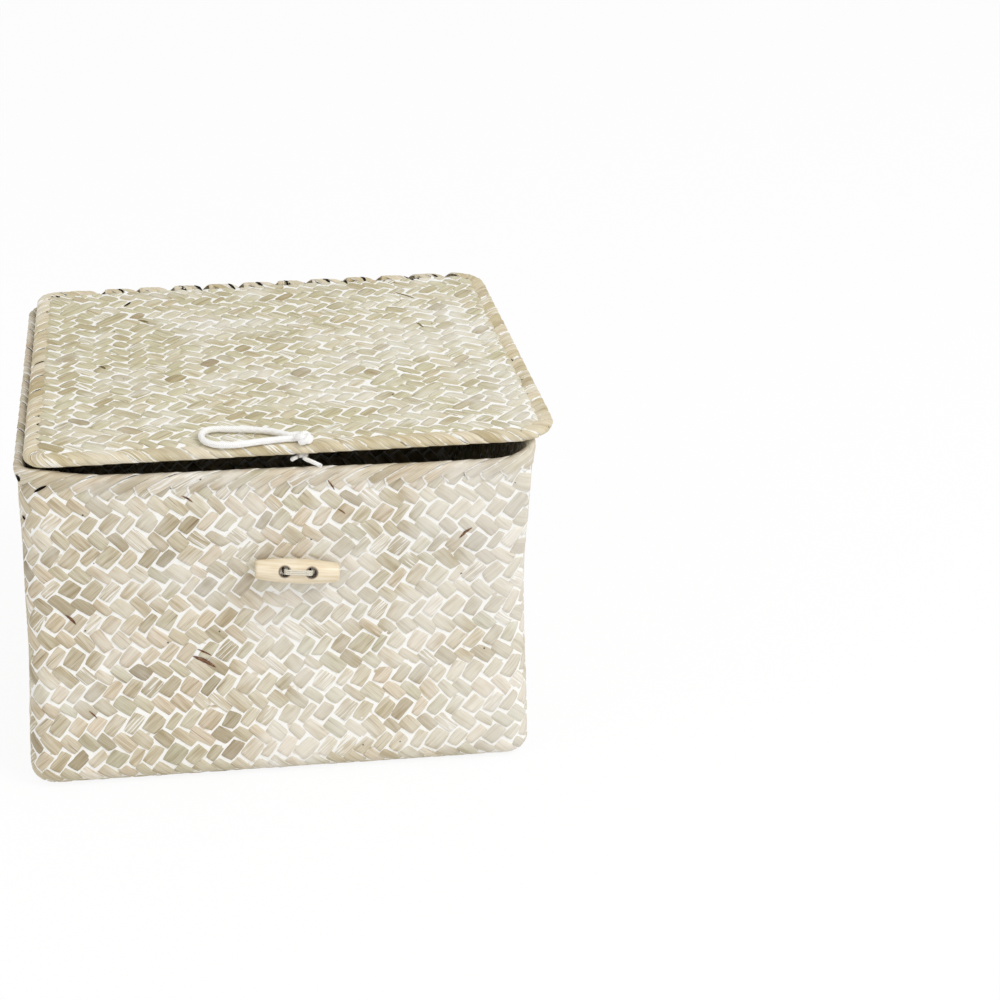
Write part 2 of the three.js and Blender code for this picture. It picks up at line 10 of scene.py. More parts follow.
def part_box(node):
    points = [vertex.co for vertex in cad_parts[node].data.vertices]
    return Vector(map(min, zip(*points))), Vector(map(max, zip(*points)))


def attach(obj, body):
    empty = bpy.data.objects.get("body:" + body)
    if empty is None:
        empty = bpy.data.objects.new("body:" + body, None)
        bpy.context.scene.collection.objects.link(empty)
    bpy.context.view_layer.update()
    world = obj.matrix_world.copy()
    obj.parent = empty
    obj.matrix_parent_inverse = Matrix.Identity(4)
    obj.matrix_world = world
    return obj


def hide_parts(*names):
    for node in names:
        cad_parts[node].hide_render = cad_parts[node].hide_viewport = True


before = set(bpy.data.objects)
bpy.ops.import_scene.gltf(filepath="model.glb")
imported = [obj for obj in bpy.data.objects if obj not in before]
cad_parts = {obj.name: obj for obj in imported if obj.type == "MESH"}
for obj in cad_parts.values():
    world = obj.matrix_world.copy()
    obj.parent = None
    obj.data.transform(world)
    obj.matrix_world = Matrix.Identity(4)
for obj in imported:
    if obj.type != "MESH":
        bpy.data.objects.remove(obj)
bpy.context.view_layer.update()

# A woven seagrass box. Sizes are in millimetres, and MM turns them into the scene's metres.
MM = 0.001

# The body and the lid, over their folded edges, from the frame
RIM_LOW, RIM_HIGH = (np.array(corner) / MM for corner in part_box("body_rim_fold"))
FOLD_LOW, FOLD_HIGH = (np.array(corner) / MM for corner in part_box("lid_edge_fold"))
BODY_WIDTH = RIM_HIGH[0] - RIM_LOW[0]
BODY_DEPTH = RIM_HIGH[1] - RIM_LOW[1]
BODY_HEIGHT = RIM_HIGH[2]
RIM_SHIFT = (RIM_HIGH[0] + RIM_LOW[0]) / 2
HINGE_Z = (FOLD_HIGH[2] + FOLD_LOW[2]) / 2

# The body's shape, as in the CAD but for its sides, its front right corner and the dip of its rim, which
# are closer to the photograph: it swells at the base, is pinched at half height and leans right near the rim
BODY_CORNER = 14
BASE_EDGE = 9
BASE_SWELL = 1.4
WAIST_PINCH = 4.7
LEFT_PINCH = 2.2
RIGHT_PINCH = 0.8
STRAIGHT_SHARE = 0.92
LEAN_HEIGHTS = (90, 145)
REAR_NARROWING = 18
SQUARE_CORNER_HEIGHTS = (80, 160)
RIM_FLARE = 2.2
RIM_FLARE_HEIGHTS = (140, 172)
# How far the front of the rim dips, and the shares of that from its left end to past its right one
FRONT_DIP = 7.4
FRONT_DIP_SHARES = [
    (0, 0), (0.03, 0.18), (0.06, 0.38), (0.12, 0.6), (0.25, 0.72), (0.5, 0.8), (0.7, 0.93),
    (0.84, 1), (0.985, 1), (1.01, 0.88), (1.03, 0.5), (1.042, 0.12), (1.05, 0)]

# The two layers of weave, and the folded strips that close in their edges
LAYER = 1.2
LAYER_GAP = 0.3
STACK = 2 * LAYER + LAYER_GAP
FOLD_THICKNESS = 0.8
FOLD_GAP = 0.4
FOLD_RELIEF = 0.5
FOLD_SHOULDER = 1
FOLD_REACH = STACK / 2 + FOLD_GAP + FOLD_THICKNESS
FOLD_FULL_REACH = FOLD_REACH + FOLD_RELIEF
RIM_OUTER_BAND = 10.5
RIM_INNER_BAND = 9
RIM_BAND_SHOWN = 9.2
RIM_FACE_GAP = 0.45
RIM_SLANT = math.radians(33)
LID_SLANT = math.radians(47)
LID_WIDTH = 261
LID_SHIFT = 10.5
LID_CORNERS = (13, 24, 18, 13)
# Where the lid's weave ends, past the middle line of its folded strips, and how high over it the weave lies
LID_WEAVE_REACH = -4.2
LID_CROWN = 2

# The weave: strips at 45 degrees whose crossings are a step apart, over two and under two
STRIP_SPACING = 9.4
STEP = STRIP_SPACING / 2
STRIP_PITCH = STRIP_SPACING / math.sqrt(2)

# The hinge: straps round the lid's rear edge
STRAP_INNER = 1.85
STRAP_THICKNESS = 0.8
STRAP_WIDTH = 6.2
STRAP_SIDE_GAP = 1.2
SEAT_GAP = 0.3
HINGE_Y = BODY_DEPTH / 2 + SEAT_GAP - STRAP_INNER

# The cord's loop, knot and tails, on the routes of the CAD
CORD_RADIUS = 1.65
TAIL_RADIUS = 1.05
LOOP_HEIGHT = HINGE_Z + FOLD_FULL_REACH + CORD_RADIUS
LOOP_POINTS = [
    (10.8, -109.2), (8.7, -109), (3.7, -105.2), (-0.5, -102.3), (-6.9, -100.2), (-13.3, -98.5),
    (-19.7, -97.2), (-26.2, -96.3), (-30.9, -98), (-33.2, -103.4), (-32, -110.6), (-27.3, -115.6),
    (-20.9, -117.3), (-14.5, -117), (-7.9, -115.6), (-1.4, -114.5), (4, -113.8), (8, -113.5),
    (10.8, -113.5)]
LONG_TAIL_POINTS = [
    (15.5, -115, 170), (16.6, -116.7, 170), (18.4, -118.9, 169.9), (20.8, -121.2, 169.5), (23, -123, 168.8)]
SHORT_TAIL_POINTS = [(12, -113.6, 170.2), (10.6, -114.6, 170.2), (9.4, -115.8, 170)]
KNOT_PLACE = (15.8, -116)
# The knot's cord runs at this reach from its middle, with lobes, turned by an angle, and rises and falls
KNOT_LIFT = 0.9
KNOT_REACH = 2.1
KNOT_LOBE = 0.95
KNOT_TURN = 0.6
KNOT_RISE = 1.15
STOP_REACH = 1.7
STOP_RADIUS = 1.25
STEM_PLACE = (15, -111)

# The toggle and its thread, three turns side by side
TOGGLE_LENGTH = 41
TOGGLE_RADIUS = 6.1
TOGGLE_END_RADIUS = 4.6
TOGGLE_BEVEL = 0.8
TOGGLE_HOLE_RADIUS = 2.5
TOGGLE_HOLE_SPACING = 13.2
TOGGLE_TILT = math.radians(6.3)
TOGGLE_ROLL = math.radians(18)
THREAD_RADIUS = 0.46
THREAD_LANES = (-0.87, 0, 0.87)
THREAD_DEPTH = 0.8
THREAD_BEND = 1.4

# Camera: the photograph's place and angle, from a fit to the object's outline
PHOTO_WIDTH = 1000
FOCAL_PIXELS = 3236.9
CAMERA_PLACE = (-79.7, -1554.4, 778.6)
CAMERA_YAW = math.radians(7.535)
CAMERA_PITCH = math.radians(23.674)
CAMERA_ROLL = math.radians(-0.278)


def make_camera():
    ahead = Vector((
        math.sin(CAMERA_YAW) * math.cos(CAMERA_PITCH),
        math.cos(CAMERA_YAW) * math.cos(CAMERA_PITCH),
        -math.sin(CAMERA_PITCH)))
    right = Vector((math.cos(CAMERA_YAW), -math.sin(CAMERA_YAW), 0))
    right = Matrix.Rotation(-CAMERA_ROLL, 3, ahead) @ right
    data = bpy.data.cameras.new("photo_camera")
    data.sensor_width = 36
    data.lens = FOCAL_PIXELS / PHOTO_WIDTH * data.sensor_width
    camera = bpy.data.objects.new("photo_camera", data)
    axes = Matrix((right, right.cross(ahead), -ahead)).transposed()
    camera.matrix_world = Matrix.Translation(Vector(CAMERA_PLACE) * MM) @ axes.to_4x4()
    bpy.context.collection.objects.link(camera)
    bpy.context.scene.camera = camera


# Materials

# The chalky wash, and the tones of the strips from the first lot to the last
PAINT = "#f3f2ee"
WALL_TONES = [
    (0, "#9c8f76"), (0.03, "#b3a78e"), (0.13, "#bfb49b"), (0.26, "#cac0a8"), (0.4, "#d1c8b0"),
    (0.54, "#d8cbb4"), (0.66, "#e1d3bf"), (0.78, "#c7c4ad"), (0.9, "#e1d8c5"), (1, "#e8e0d1")]
LID_TONES = [
    (0, "#9f8d66"), (0.03, "#b7a984"), (0.12, "#c3ba99"), (0.35, "#ccc7a7"), (0.6, "#d3ceb1"),
    (0.8, "#d6ccb0"), (1, "#dfdac4")]
RIM_TONES = [
    (0, "#b3a68c"), (0.15, "#c5baa2"), (0.4, "#d3c6b0"), (0.65, "#dccfbb"), (0.85, "#cbc4aa"),
    (1, "#e2d8c6")]
LID_FOLD_TONES = [
    (0, "#b5a27a"), (0.15, "#c8bc98"), (0.4, "#d5c9a9"), (0.7, "#dccfb2"), (1, "#e3d9c1")]


def linear(hex_value):
    channels = [int(hex_value[place:place + 2], 16) / 255 for place in (1, 3, 5)]
    return tuple(c / 12.92 if c <= 0.04045 else ((c + 0.055) / 1.055) ** 2.4 for c in channels) + (1,)


def set_inputs(tree, node, inputs):
    """An input is a constant, a socket, or a node whose first output in use is linked."""
    for name, value in inputs.items():
        if isinstance(value, bpy.types.Node):
            value = next(socket for socket in value.outputs if socket.enabled)
        if isinstance(value, bpy.types.NodeSocket):
            tree.links.new(value, node.inputs[name])
        else:
            node.inputs[name].default_value = value


def add_node(tree, kind, inputs=None, stops=(), **settings):
    """Adds a node with its settings, its inputs and the stops of its colour ramp."""
    node = tree.nodes.new("ShaderNode" + kind)
    for name, value in settings.items():
        setattr(node, name, value)
    for index, (place, colour) in enumerate(stops):
        elements = node.color_ramp.elements
        element = elements[index] if index < 2 else elements.new(1)
        element.position = place
        element.color = linear(colour) if isinstance(colour, str) else (colour, colour, colour, 1)
    set_inputs(tree, node, inputs or {})
    return node


def new_material(name):
    material = bpy.data.materials.new(name)
    material.use_nodes = True
    return material, material.node_tree, material.node_tree.nodes["Principled BSDF"]


def streaks(tree, place, length, width, detail, roughness=0.6):
    """Noise drawn out along a strip or a piece of wood, as its fibres are."""
    stretched = add_node(tree, "VectorMath", {
        0: place, 1: (1 / (length * MM), 1 / (width * MM), 1)}, operation="MULTIPLY")
    return add_node(tree, "TexNoise", {
        "Vector": stretched, "Scale": 1, "Detail": detail, "Roughness": roughness}, noise_dimensions="2D")


def seagrass(name, tones, wash, softness, cover=0.95, painted_light_slope=(0, 0, 0)):
    """Dried seagrass, split flat, woven and then whitewashed: matte, with lengthwise fibres, a tone
    of its own on each strip, clouds of wash and chalky paint in most of the joints.
    wash is how white the clouds get, softness how ragged the paint's edge is, cover the share of the
    joints that have paint, and the slope of the painted light the way in which the wash gets whiter towards
    the key lamp.
    The mesh brings the strips: UV map Strip is the place along and across one in metres, and
    the attribute Lots holds the strip's lot, the float's lot and the nearness to a joint."""
    material, tree, shader = new_material(name)
    place = add_node(tree, "UVMap", uv_map="Strip")
    surface = add_node(tree, "TexCoord").outputs["Object"]
    lots = add_node(tree, "Attribute", attribute_name="Lots")
    lots = add_node(tree, "SeparateColor", {"Color": lots}).outputs
    strip_lot, float_lot, joint = lots["Red"], lots["Green"], lots["Blue"]

    # Seagrass fibres are about 0.3 mm apart; the render shows them from 0.6 mm
    fibres = streaks(tree, place, 14, 0.6, 2)
    fine_shade = add_node(tree, "ValToRGB", {"Fac": fibres}, [
        (0.3, "#dcd6ca"), (0.5, "#f4f2ed"), (0.66, "#ffffff")])
    broad_shade = add_node(tree, "ValToRGB", {"Fac": streaks(tree, place, 30, 2.6, 1)}, [
        (0.32, "#e2dbcd"), (0.5, "#ffffff")])

    # Rare brown fibres
    stains = add_node(tree, "ValToRGB", {"Fac": streaks(tree, place, 22, 0.9, 0)}, [(0.79, 0), (0.86, 0.5)])

    # The wash dries in clouds over the weave, on some strips as lines along their fibres
    clouds = add_node(tree, "TexNoise", {
        "Vector": surface, "Scale": 1 / (34 * MM), "Detail": 3, "Roughness": 0.6})
    # Painted light: the wash is made whiter towards the right and, on the walls, towards the top, for the key
    # lamp's light
    painted_light_rise = add_node(tree, "VectorMath", {0: surface, 1: painted_light_slope}, operation="DOT_PRODUCT")
    clouds = add_node(tree, "Math", {0: painted_light_rise, 1: clouds}, operation="ADD")
    clouds = add_node(tree, "MapRange", {
        "Value": clouds, "From Min": 0.42, "From Max": 0.72, "To Max": wash}, interpolation_type="SMOOTHSTEP")
    lined = add_node(tree, "ValToRGB", {"Fac": float_lot}, [(0, 0), (0.2, 1), (0.27, 0), (0.93, 1)])
    lined.color_ramp.interpolation = "CONSTANT"
    lines = add_node(tree, "ValToRGB", {"Fac": streaks(tree, place, 18, 0.8, 1)}, [(0.56, 0), (0.63, 0.75)])
    lines = add_node(tree, "Math", {0: lines, 1: lined}, operation="MULTIPLY")

    # The paint in the joints comes in patches and has a ragged edge on the strips
    edge = add_node(tree, "Math", {
        0: streaks(tree, place, 3.5, 1.8, 2), 1: softness, 2: joint}, operation="MULTIPLY_ADD")
    edge = add_node(tree, "MapRange", {
        "Value": edge, "From Min": 0.58 + 0.45 * softness, "From Max": 0.88 + 0.45 * softness},
        interpolation_type="SMOOTHSTEP")
    patches = add_node(tree, "TexNoise", {
        "Vector": surface, "Scale": 1 / (8 * MM), "Detail": 2, "Roughness": 0.5})
    patches = add_node(tree, "MapRange", {
        "Value": patches, "From Min": 0.62 - 0.35 * cover, "From Max": 0.7 - 0.35 * cover},
        interpolation_type="SMOOTHSTEP")
    edge = add_node(tree, "Math", {0: edge, 1: patches}, operation="MULTIPLY")
    paint = add_node(tree, "Math", {0: edge, 1: lines}, operation="MAXIMUM")

    # A few pinholes where strips don't quite meet, painted as dark dots of shade seen through them
    pinhole_shade = add_node(tree, "TexVoronoi", {"Vector": surface, "Scale": 1 / (15 * MM)})
    pinhole_shade = add_node(tree, "ValToRGB", {"Fac": pinhole_shade}, [(0.028, 0.9), (0.042, 0)])

    colour = add_node(tree, "ValToRGB", {"Fac": strip_lot}, tones)
    coats = [
        (0.7, add_node(tree, "ValToRGB", {"Fac": float_lot}, tones), "MIX"),
        (0.75, fine_shade, "MULTIPLY"), (0.8, broad_shade, "MULTIPLY"), (stains, linear("#6b5038"), "MIX"),
        (clouds, linear("#f1efe9"), "MIX"), (paint, linear(PAINT), "MIX"),
        (pinhole_shade, linear("#2b2318"), "MIX")]
    for share, coat, blend in coats:
        colour = add_node(tree, "Mix", {
            "Factor": share, "A": colour, "B": coat}, data_type="RGBA", blend_type=blend)
    relief = add_node(tree, "Bump", {"Height": fibres, "Strength": 0.5, "Distance": 0.12 * MM})
    dullness = add_node(tree, "MapRange", {"Value": paint, "To Min": 0.62, "To Max": 0.9})
    set_inputs(tree, shader, {
        "Base Color": colour, "Roughness": dullness, "Normal": relief, "Specular IOR Level": 0.3})
    return material


def cotton(name, low, high, spacing, depth):
    """Spun cotton: dull and slightly fuzzy, with the fine cross lines of its yarn between two tones."""
    material, tree, shader = new_material(name)
    place = add_node(tree, "UVMap", uv_map="Strip")
    yarn = add_node(tree, "TexWave", {
        "Vector": place, "Scale": 0.3 / (spacing * MM), "Distortion": 1.5, "Detail": 1},
        bands_direction="DIAGONAL").outputs["Fac"]
    shade = add_node(tree, "ValToRGB", {"Fac": yarn}, [(0, low), (0.7, high)])
    relief = add_node(tree, "Bump", {"Height": yarn, "Strength": 0.5, "Distance": depth * MM})
    set_inputs(tree, shader, {
        "Base Color": shade, "Normal": relief, "Roughness": 0.9, "Sheen Weight": 0.15})
    return material


def dark_fibre_and_painted_shade(name, low, high):
    """Matte, dark and finely mottled seagrass: in brown tones the bare, weathered grass of a loose fibre,
    and in near-black tones painted shade that stands for the shadow in an open joint."""
    material, tree, shader = new_material(name)
    surface = add_node(tree, "TexCoord").outputs["Object"]
    mottle = add_node(tree, "TexNoise", {"Vector": surface, "Scale": 1 / (1.2 * MM), "Detail": 2})
    shade = add_node(tree, "ValToRGB", {"Fac": mottle}, [(0.35, low), (0.7, high)])
    set_inputs(tree, shader, {"Base Color": shade, "Roughness": 0.95, "Specular IOR Level": 0.1})
    return material


def turned_wood(name):
    """Pale turned beech, sanded and waxed: faint grain along it, and darker brown in the holes and round
    their mouths.
    UV map Strip is the place along and across the toggle in metres."""
    material, tree, shader = new_material(name)
    place = add_node(tree, "UVMap", uv_map="Strip")
    grain = streaks(tree, place, 14, 1.1, 3, 0.5)
    colour = add_node(tree, "ValToRGB", {"Fac": grain}, [
        (0.3, "#dbc9a8"), (0.5, "#e5d6ba"), (0.7, "#ebdfc8")])
    split = add_node(tree, "SeparateXYZ", {"Vector": place}).outputs
    beside = add_node(tree, "Math", {0: split["X"]}, operation="ABSOLUTE")
    beside = add_node(tree, "Math", {0: beside, 1: TOGGLE_HOLE_SPACING / 2 * MM}, operation="SUBTRACT")
    from_hole = add_node(tree, "CombineXYZ", {"X": beside, "Y": split["Y"]})
    reach = add_node(tree, "VectorMath", {0: from_hole}, operation="LENGTH")
    # The holes' walls and a ring round their mouths are darkened brown
    hole_darkening = add_node(tree, "MapRange", {
        "Value": reach, "From Min": (TOGGLE_HOLE_RADIUS + 0.1) * MM,
        "From Max": (TOGGLE_HOLE_RADIUS + 1.1) * MM, "To Min": 0.92, "To Max": 0},
        interpolation_type="SMOOTHSTEP")
    colour = add_node(tree, "Mix", {"Factor": hole_darkening, "A": colour, "B": linear("#4a2f1a")}, data_type="RGBA")
    set_inputs(tree, shader, {"Base Color": colour, "Roughness": 0.42, "Coat Weight": 0.15})
    return material


# Meshes

def make_piece(name, points, faces, material, body, node=None, strip=None, lots=None, bake=None):
    """A mesh from points in millimetres, with the maps that its material reads. node is the node of the
    CAD that it replaces, if any, strip the place along and across a strip in millimetres, and bake the
    place on its bake sheet. A face with a repeated corner becomes a triangle."""
    rows = faces.tolist() if isinstance(faces, np.ndarray) else faces
    mesh = bpy.data.meshes.new(name)
    mesh.from_pydata(np.asarray(points) * MM, [], [list(dict.fromkeys(row)) for row in rows])
    corners = np.empty(len(mesh.loops), np.int32)
    mesh.loops.foreach_get("vertex_index", corners)
    for map_name, values, scale in (("OFBake", bake, 1), ("Strip", strip, MM)):
        if values is not None:
            layer = mesh.uv_layers.new(name=map_name)
            layer.uv.foreach_set("vector", (np.asarray(values)[corners] * scale).astype(np.float32).ravel())
    if lots is not None:
        layer = mesh.attributes.new("Lots", "FLOAT_COLOR", "POINT")
        colours = np.concatenate([lots, np.ones((len(lots), 1))], axis=1)
        layer.data.foreach_set("color", colours.astype(np.float32).ravel())
    mesh.polygons.foreach_set("use_smooth", np.ones(len(mesh.polygons), bool))
    mesh.materials.append(material)
    mesh.update()
    piece = bpy.data.objects.new(name, mesh)
    bpy.context.collection.objects.link(piece)
    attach(piece, body)
    if node:
        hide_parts(node)
    return piece


def grid_faces(rows, columns, closed=False):
    """Quads of a grid of points whose columns run fastest; closed joins the last column to the first."""
    row = np.arange(rows - 1)[:, None]
    column = np.arange(columns if closed else columns - 1)[None, :]
    after = (column + 1) % columns
    quads = [row * columns + column, row * columns + after,
             (row + 1) * columns + after, (row + 1) * columns + column]
    return np.stack(quads, axis=-1).reshape(-1, 4)


def bake_cells(count, local, high):
    """Places each of count tiles in its own cell of a bake sheet, up to the height high."""
    columns = max(1, math.ceil(math.sqrt(count / (2 * high))))
    index = np.arange(count)
    corner = np.stack([index % columns, index // columns], axis=-1)[:, None, :]
    cell = np.array([1 / columns, high / math.ceil(count / columns)])
    margin = 0.06
    return ((corner + margin + (1 - 2 * margin) * local[None]) * cell).reshape(-1, 2)


# The body's walls

def smooth_step(value, low, high):
    share = np.clip((value - low) / (high - low), 0, 1)
    return share * share * (3 - 2 * share)


def wall_swell(height, pinch):
    share = np.minimum(height / (STRAIGHT_SHARE * BODY_HEIGHT), 1)
    return BASE_SWELL * (1 + np.cos(np.pi * share)) / 2 - pinch * np.sin(np.pi * share) ** 2


def rim_top(x, y):
    reach = BODY_WIDTH / 2 - BODY_CORNER
    place = np.where(y > 0, 0, np.maximum((x + reach) / (2 * reach), 0))
    shares, depths = zip(*FRONT_DIP_SHARES)
    return BODY_HEIGHT - FRONT_DIP * np.interp(place, shares, depths)


def width_share(y):
    """The box is narrower at its rear."""
    return 1 - REAR_NARROWING / BODY_WIDTH * (y + BODY_DEPTH / 2) / BODY_DEPTH


def narrow(x, y, z):
    return np.stack([x * width_share(y), y, z + np.zeros_like(x)], axis=-1)


def distances(path):
    """How far along a path each of its points is."""
    steps = np.linalg.norm(np.diff(path, axis=0), axis=1)
    return np.concatenate([[0], np.cumsum(steps)])


def at_distances(wanted, marks, path):
    return np.stack([np.interp(wanted, marks, axis) for axis in np.asarray(path).T], axis=-1)


class Outline:
    """A rounded rectangle, anticlockwise from the front's left end: points and outward directions."""

    def __init__(self, half_x, half_y, radii):
        front_left, front_right, rear_right, rear_left = radii
        corners = [(half_x, -half_y, front_right, -1, 1, -90), (half_x, half_y, rear_right, -1, -1, 0),
                   (-half_x, half_y, rear_left, 1, -1, 90), (-half_x, -half_y, front_left, 1, 1, 180)]
        spots, turns = [(front_left - half_x, -half_y)], [-90]
        for x, y, radius, inward_x, inward_y, start in corners:
            for degrees in np.linspace(start, start + 90, 31):
                angle = math.radians(degrees)
                spots.append((x + inward_x * radius + radius * math.cos(angle),
                              y + inward_y * radius + radius * math.sin(angle)))
                turns.append(degrees)
        self.spots = np.array(spots)
        self.turns = np.radians(turns)
        self.marks = distances(self.spots)
        self.length = self.marks[-1]

    def at(self, distance):
        distance = np.mod(distance, self.length)
        turn = np.interp(distance, self.marks, self.turns)
        return at_distances(distance, self.marks, self.spots), np.stack([np.cos(turn), np.sin(turn)], axis=-1)


WALL_HALF_X = BODY_WIDTH / 2 - FOLD_FULL_REACH + STACK / 2
WALL_HALF_Y = BODY_DEPTH / 2 - FOLD_FULL_REACH + STACK / 2
WALL_CORNER = BODY_CORNER - FOLD_FULL_REACH + STACK / 2
WALL_OUTLINE = Outline(WALL_HALF_X, WALL_HALF_Y, (WALL_CORNER,) * 4)
WALL_TOP_DROP = FOLD_RELIEF + FOLD_THICKNESS + 2 * FOLD_GAP


def wall_point(along, level, inset, lift):
    """A point of the wall: level is the height on a side without a dip, and below the base's edge
    radius it goes on round that edge; inset is inwards from the outer face and lift out of the face."""
    spot, outward = WALL_OUTLINE.at(along)
    bend = np.clip((BASE_EDGE - level) / BASE_EDGE, 0, math.pi / 2)
    radius = BASE_EDGE - inset + lift
    top = rim_top(spot[..., 0], spot[..., 1]) - WALL_TOP_DROP
    above = BASE_EDGE + (level - BASE_EDGE) * (top - BASE_EDGE) / (BODY_HEIGHT - BASE_EDGE)
    height = np.where(bend > 0, np.maximum(BASE_EDGE - radius * np.sin(bend), 0), above)
    rounding = radius * np.cos(bend) - BASE_EDGE
    height_here = np.where(bend > 0, height, level)
    side_pinch = np.where(outward[..., 0] > 0, RIGHT_PINCH, LEFT_PINCH)
    reach = np.stack([wall_swell(height_here, side_pinch), wall_swell(height_here, WAIST_PINCH)], axis=-1)
    flat = spot + outward * (reach + rounding[..., None]) + stretched_corner(outward, WALL_CORNER, level)
    return narrow(flat[..., 0] + RIM_SHIFT * smooth_step(level, *LEAN_HEIGHTS), flat[..., 1], height)


def stretched_corner(outward, radius, height):
    """Near the rim, the front right corner is squarer than the others, and the right side flares."""
    across, ahead = outward[..., 0], outward[..., 1]
    squareness = 8
    square = (across ** squareness + ahead ** squareness) ** (-1 / squareness) - 1
    near_rim = smooth_step(height, *SQUARE_CORNER_HEIGHTS)
    reach = np.where((across > 0) & (ahead < 0), square * radius * near_rim, 0)
    reach = reach + RIM_FLARE * np.maximum(across, 0) ** 2 * smooth_step(height, *RIM_FLARE_HEIGHTS)
    return outward * reach[..., None]


# Slow waves, 28 to 120 mm long, that carry the rows of a weave off their straight lines
random = np.random.default_rng(7)
WAVES = [
    (random.uniform(28, 120), random.uniform(0, 2 * math.pi), random.uniform(0, 2 * math.pi))
    for _ in range(6)]
WANDER_REACH = 1.5


def wander(x, y):
    moved = np.zeros(np.broadcast(x, y).shape + (2,))
    for length, heading, phase in WAVES:
        wave = np.sin(2 * np.pi * (x * math.cos(heading) + y * math.sin(heading)) / length + phase)
        moved += wave[..., None] * np.array([math.sin(heading * 3 + phase), math.cos(heading * 2 + phase)])
    return moved * WANDER_REACH / len(WAVES)


def floats(columns, rows, rising_on_top, inside, wrap=False):
    """The floats of a two-over, two-under weave. Crossings lie at each (column, row) with an even sum.
    A rising strip's number is half of column less row, and a falling one's half of their sum.
    Gives for each run of crossings that one strip passes on top: its slope, its strip's number and
    the numbers of the first and last strips that it crosses."""
    found = []
    for slope in (1, -1):
        starts = range(columns) if wrap else range(-rows, columns + rows)
        for start in starts:
            run = []
            for step in range(rows + 1):
                row = step if slope > 0 else rows - 1 - step
                column = start + step
                here = step < rows and (column + row) % 2 == 0 and (wrap or 0 <= column < columns)
                place = (column % columns if wrap else column, row)
                if here and inside(*place) and rising_on_top(*place) == (slope > 0):
                    run.append((column, row))
                elif run:
                    own = (run[0][0] - slope * run[0][1]) // 2
                    crossed = sorted((run[end][0] + slope * run[end][1]) // 2 for end in (0, -1))
                    found.append((slope, own, *crossed))
                    run = []
    return np.array(found)


# How far the edges of the strips vary, and how high a float's crown stands and how deep its edges sink
STRIP_SPREAD = 0.85
TILE_CROWN = 0.3
TILE_SINK = 0.3


def strip_bounds(count, seed):
    """The bounds between neighbouring strips of one direction, about half a pitch before each strip's
    middle: strips are split by hand, so that no two are as wide. The list repeats after count strips."""
    moves = np.clip(np.random.default_rng(seed).normal(0, STRIP_SPREAD, count),
                    -2.2 * STRIP_SPREAD, 2.2 * STRIP_SPREAD)

    def bound(number):
        return (number - 0.5) * STRIP_PITCH + moves[np.mod(number, count)]

    return bound


# The places of a float's points, as shares of the way from its middle to its sunken edges
FLOAT_ALONG = np.array([-1, -0.93, -0.62, -0.2, 0.2, 0.62, 0.93, 1])
FLOAT_ACROSS = np.array([-1, -0.86, -0.3, 0.3, 0.86, 1])
# The share of the crown at a float's inner ring of points and at that ring's corners
RING_CROWN_SHARE = 0.8
CORNER_CROWN_SHARE = 0.45
# How much the floats vary: their joints, the degrees that they turn, their crown, curl and bow, the
# roughness of their faces, the slant of their ends and the width from one end to the other
JOINT_SPREAD = 0.2
JOINT_LIMITS = (-0.6, 1.5)
TURN_SPREAD = 4
CROWN_SPREAD = 0.06
CURL_SPREAD = 0.07
BOW_SPREAD = 0.16
FACE_ROUGHNESS = 0.04
END_SLANT_SPREAD = 0.4
WEDGE_SPREAD = 0.05
LEAST_ROUNDING = 0.03
# The lots of strips are up to this far apart on the map Strip, so that none has another's fibres
LOT_REACH = 900
STRAP_LOT_REACH = 500


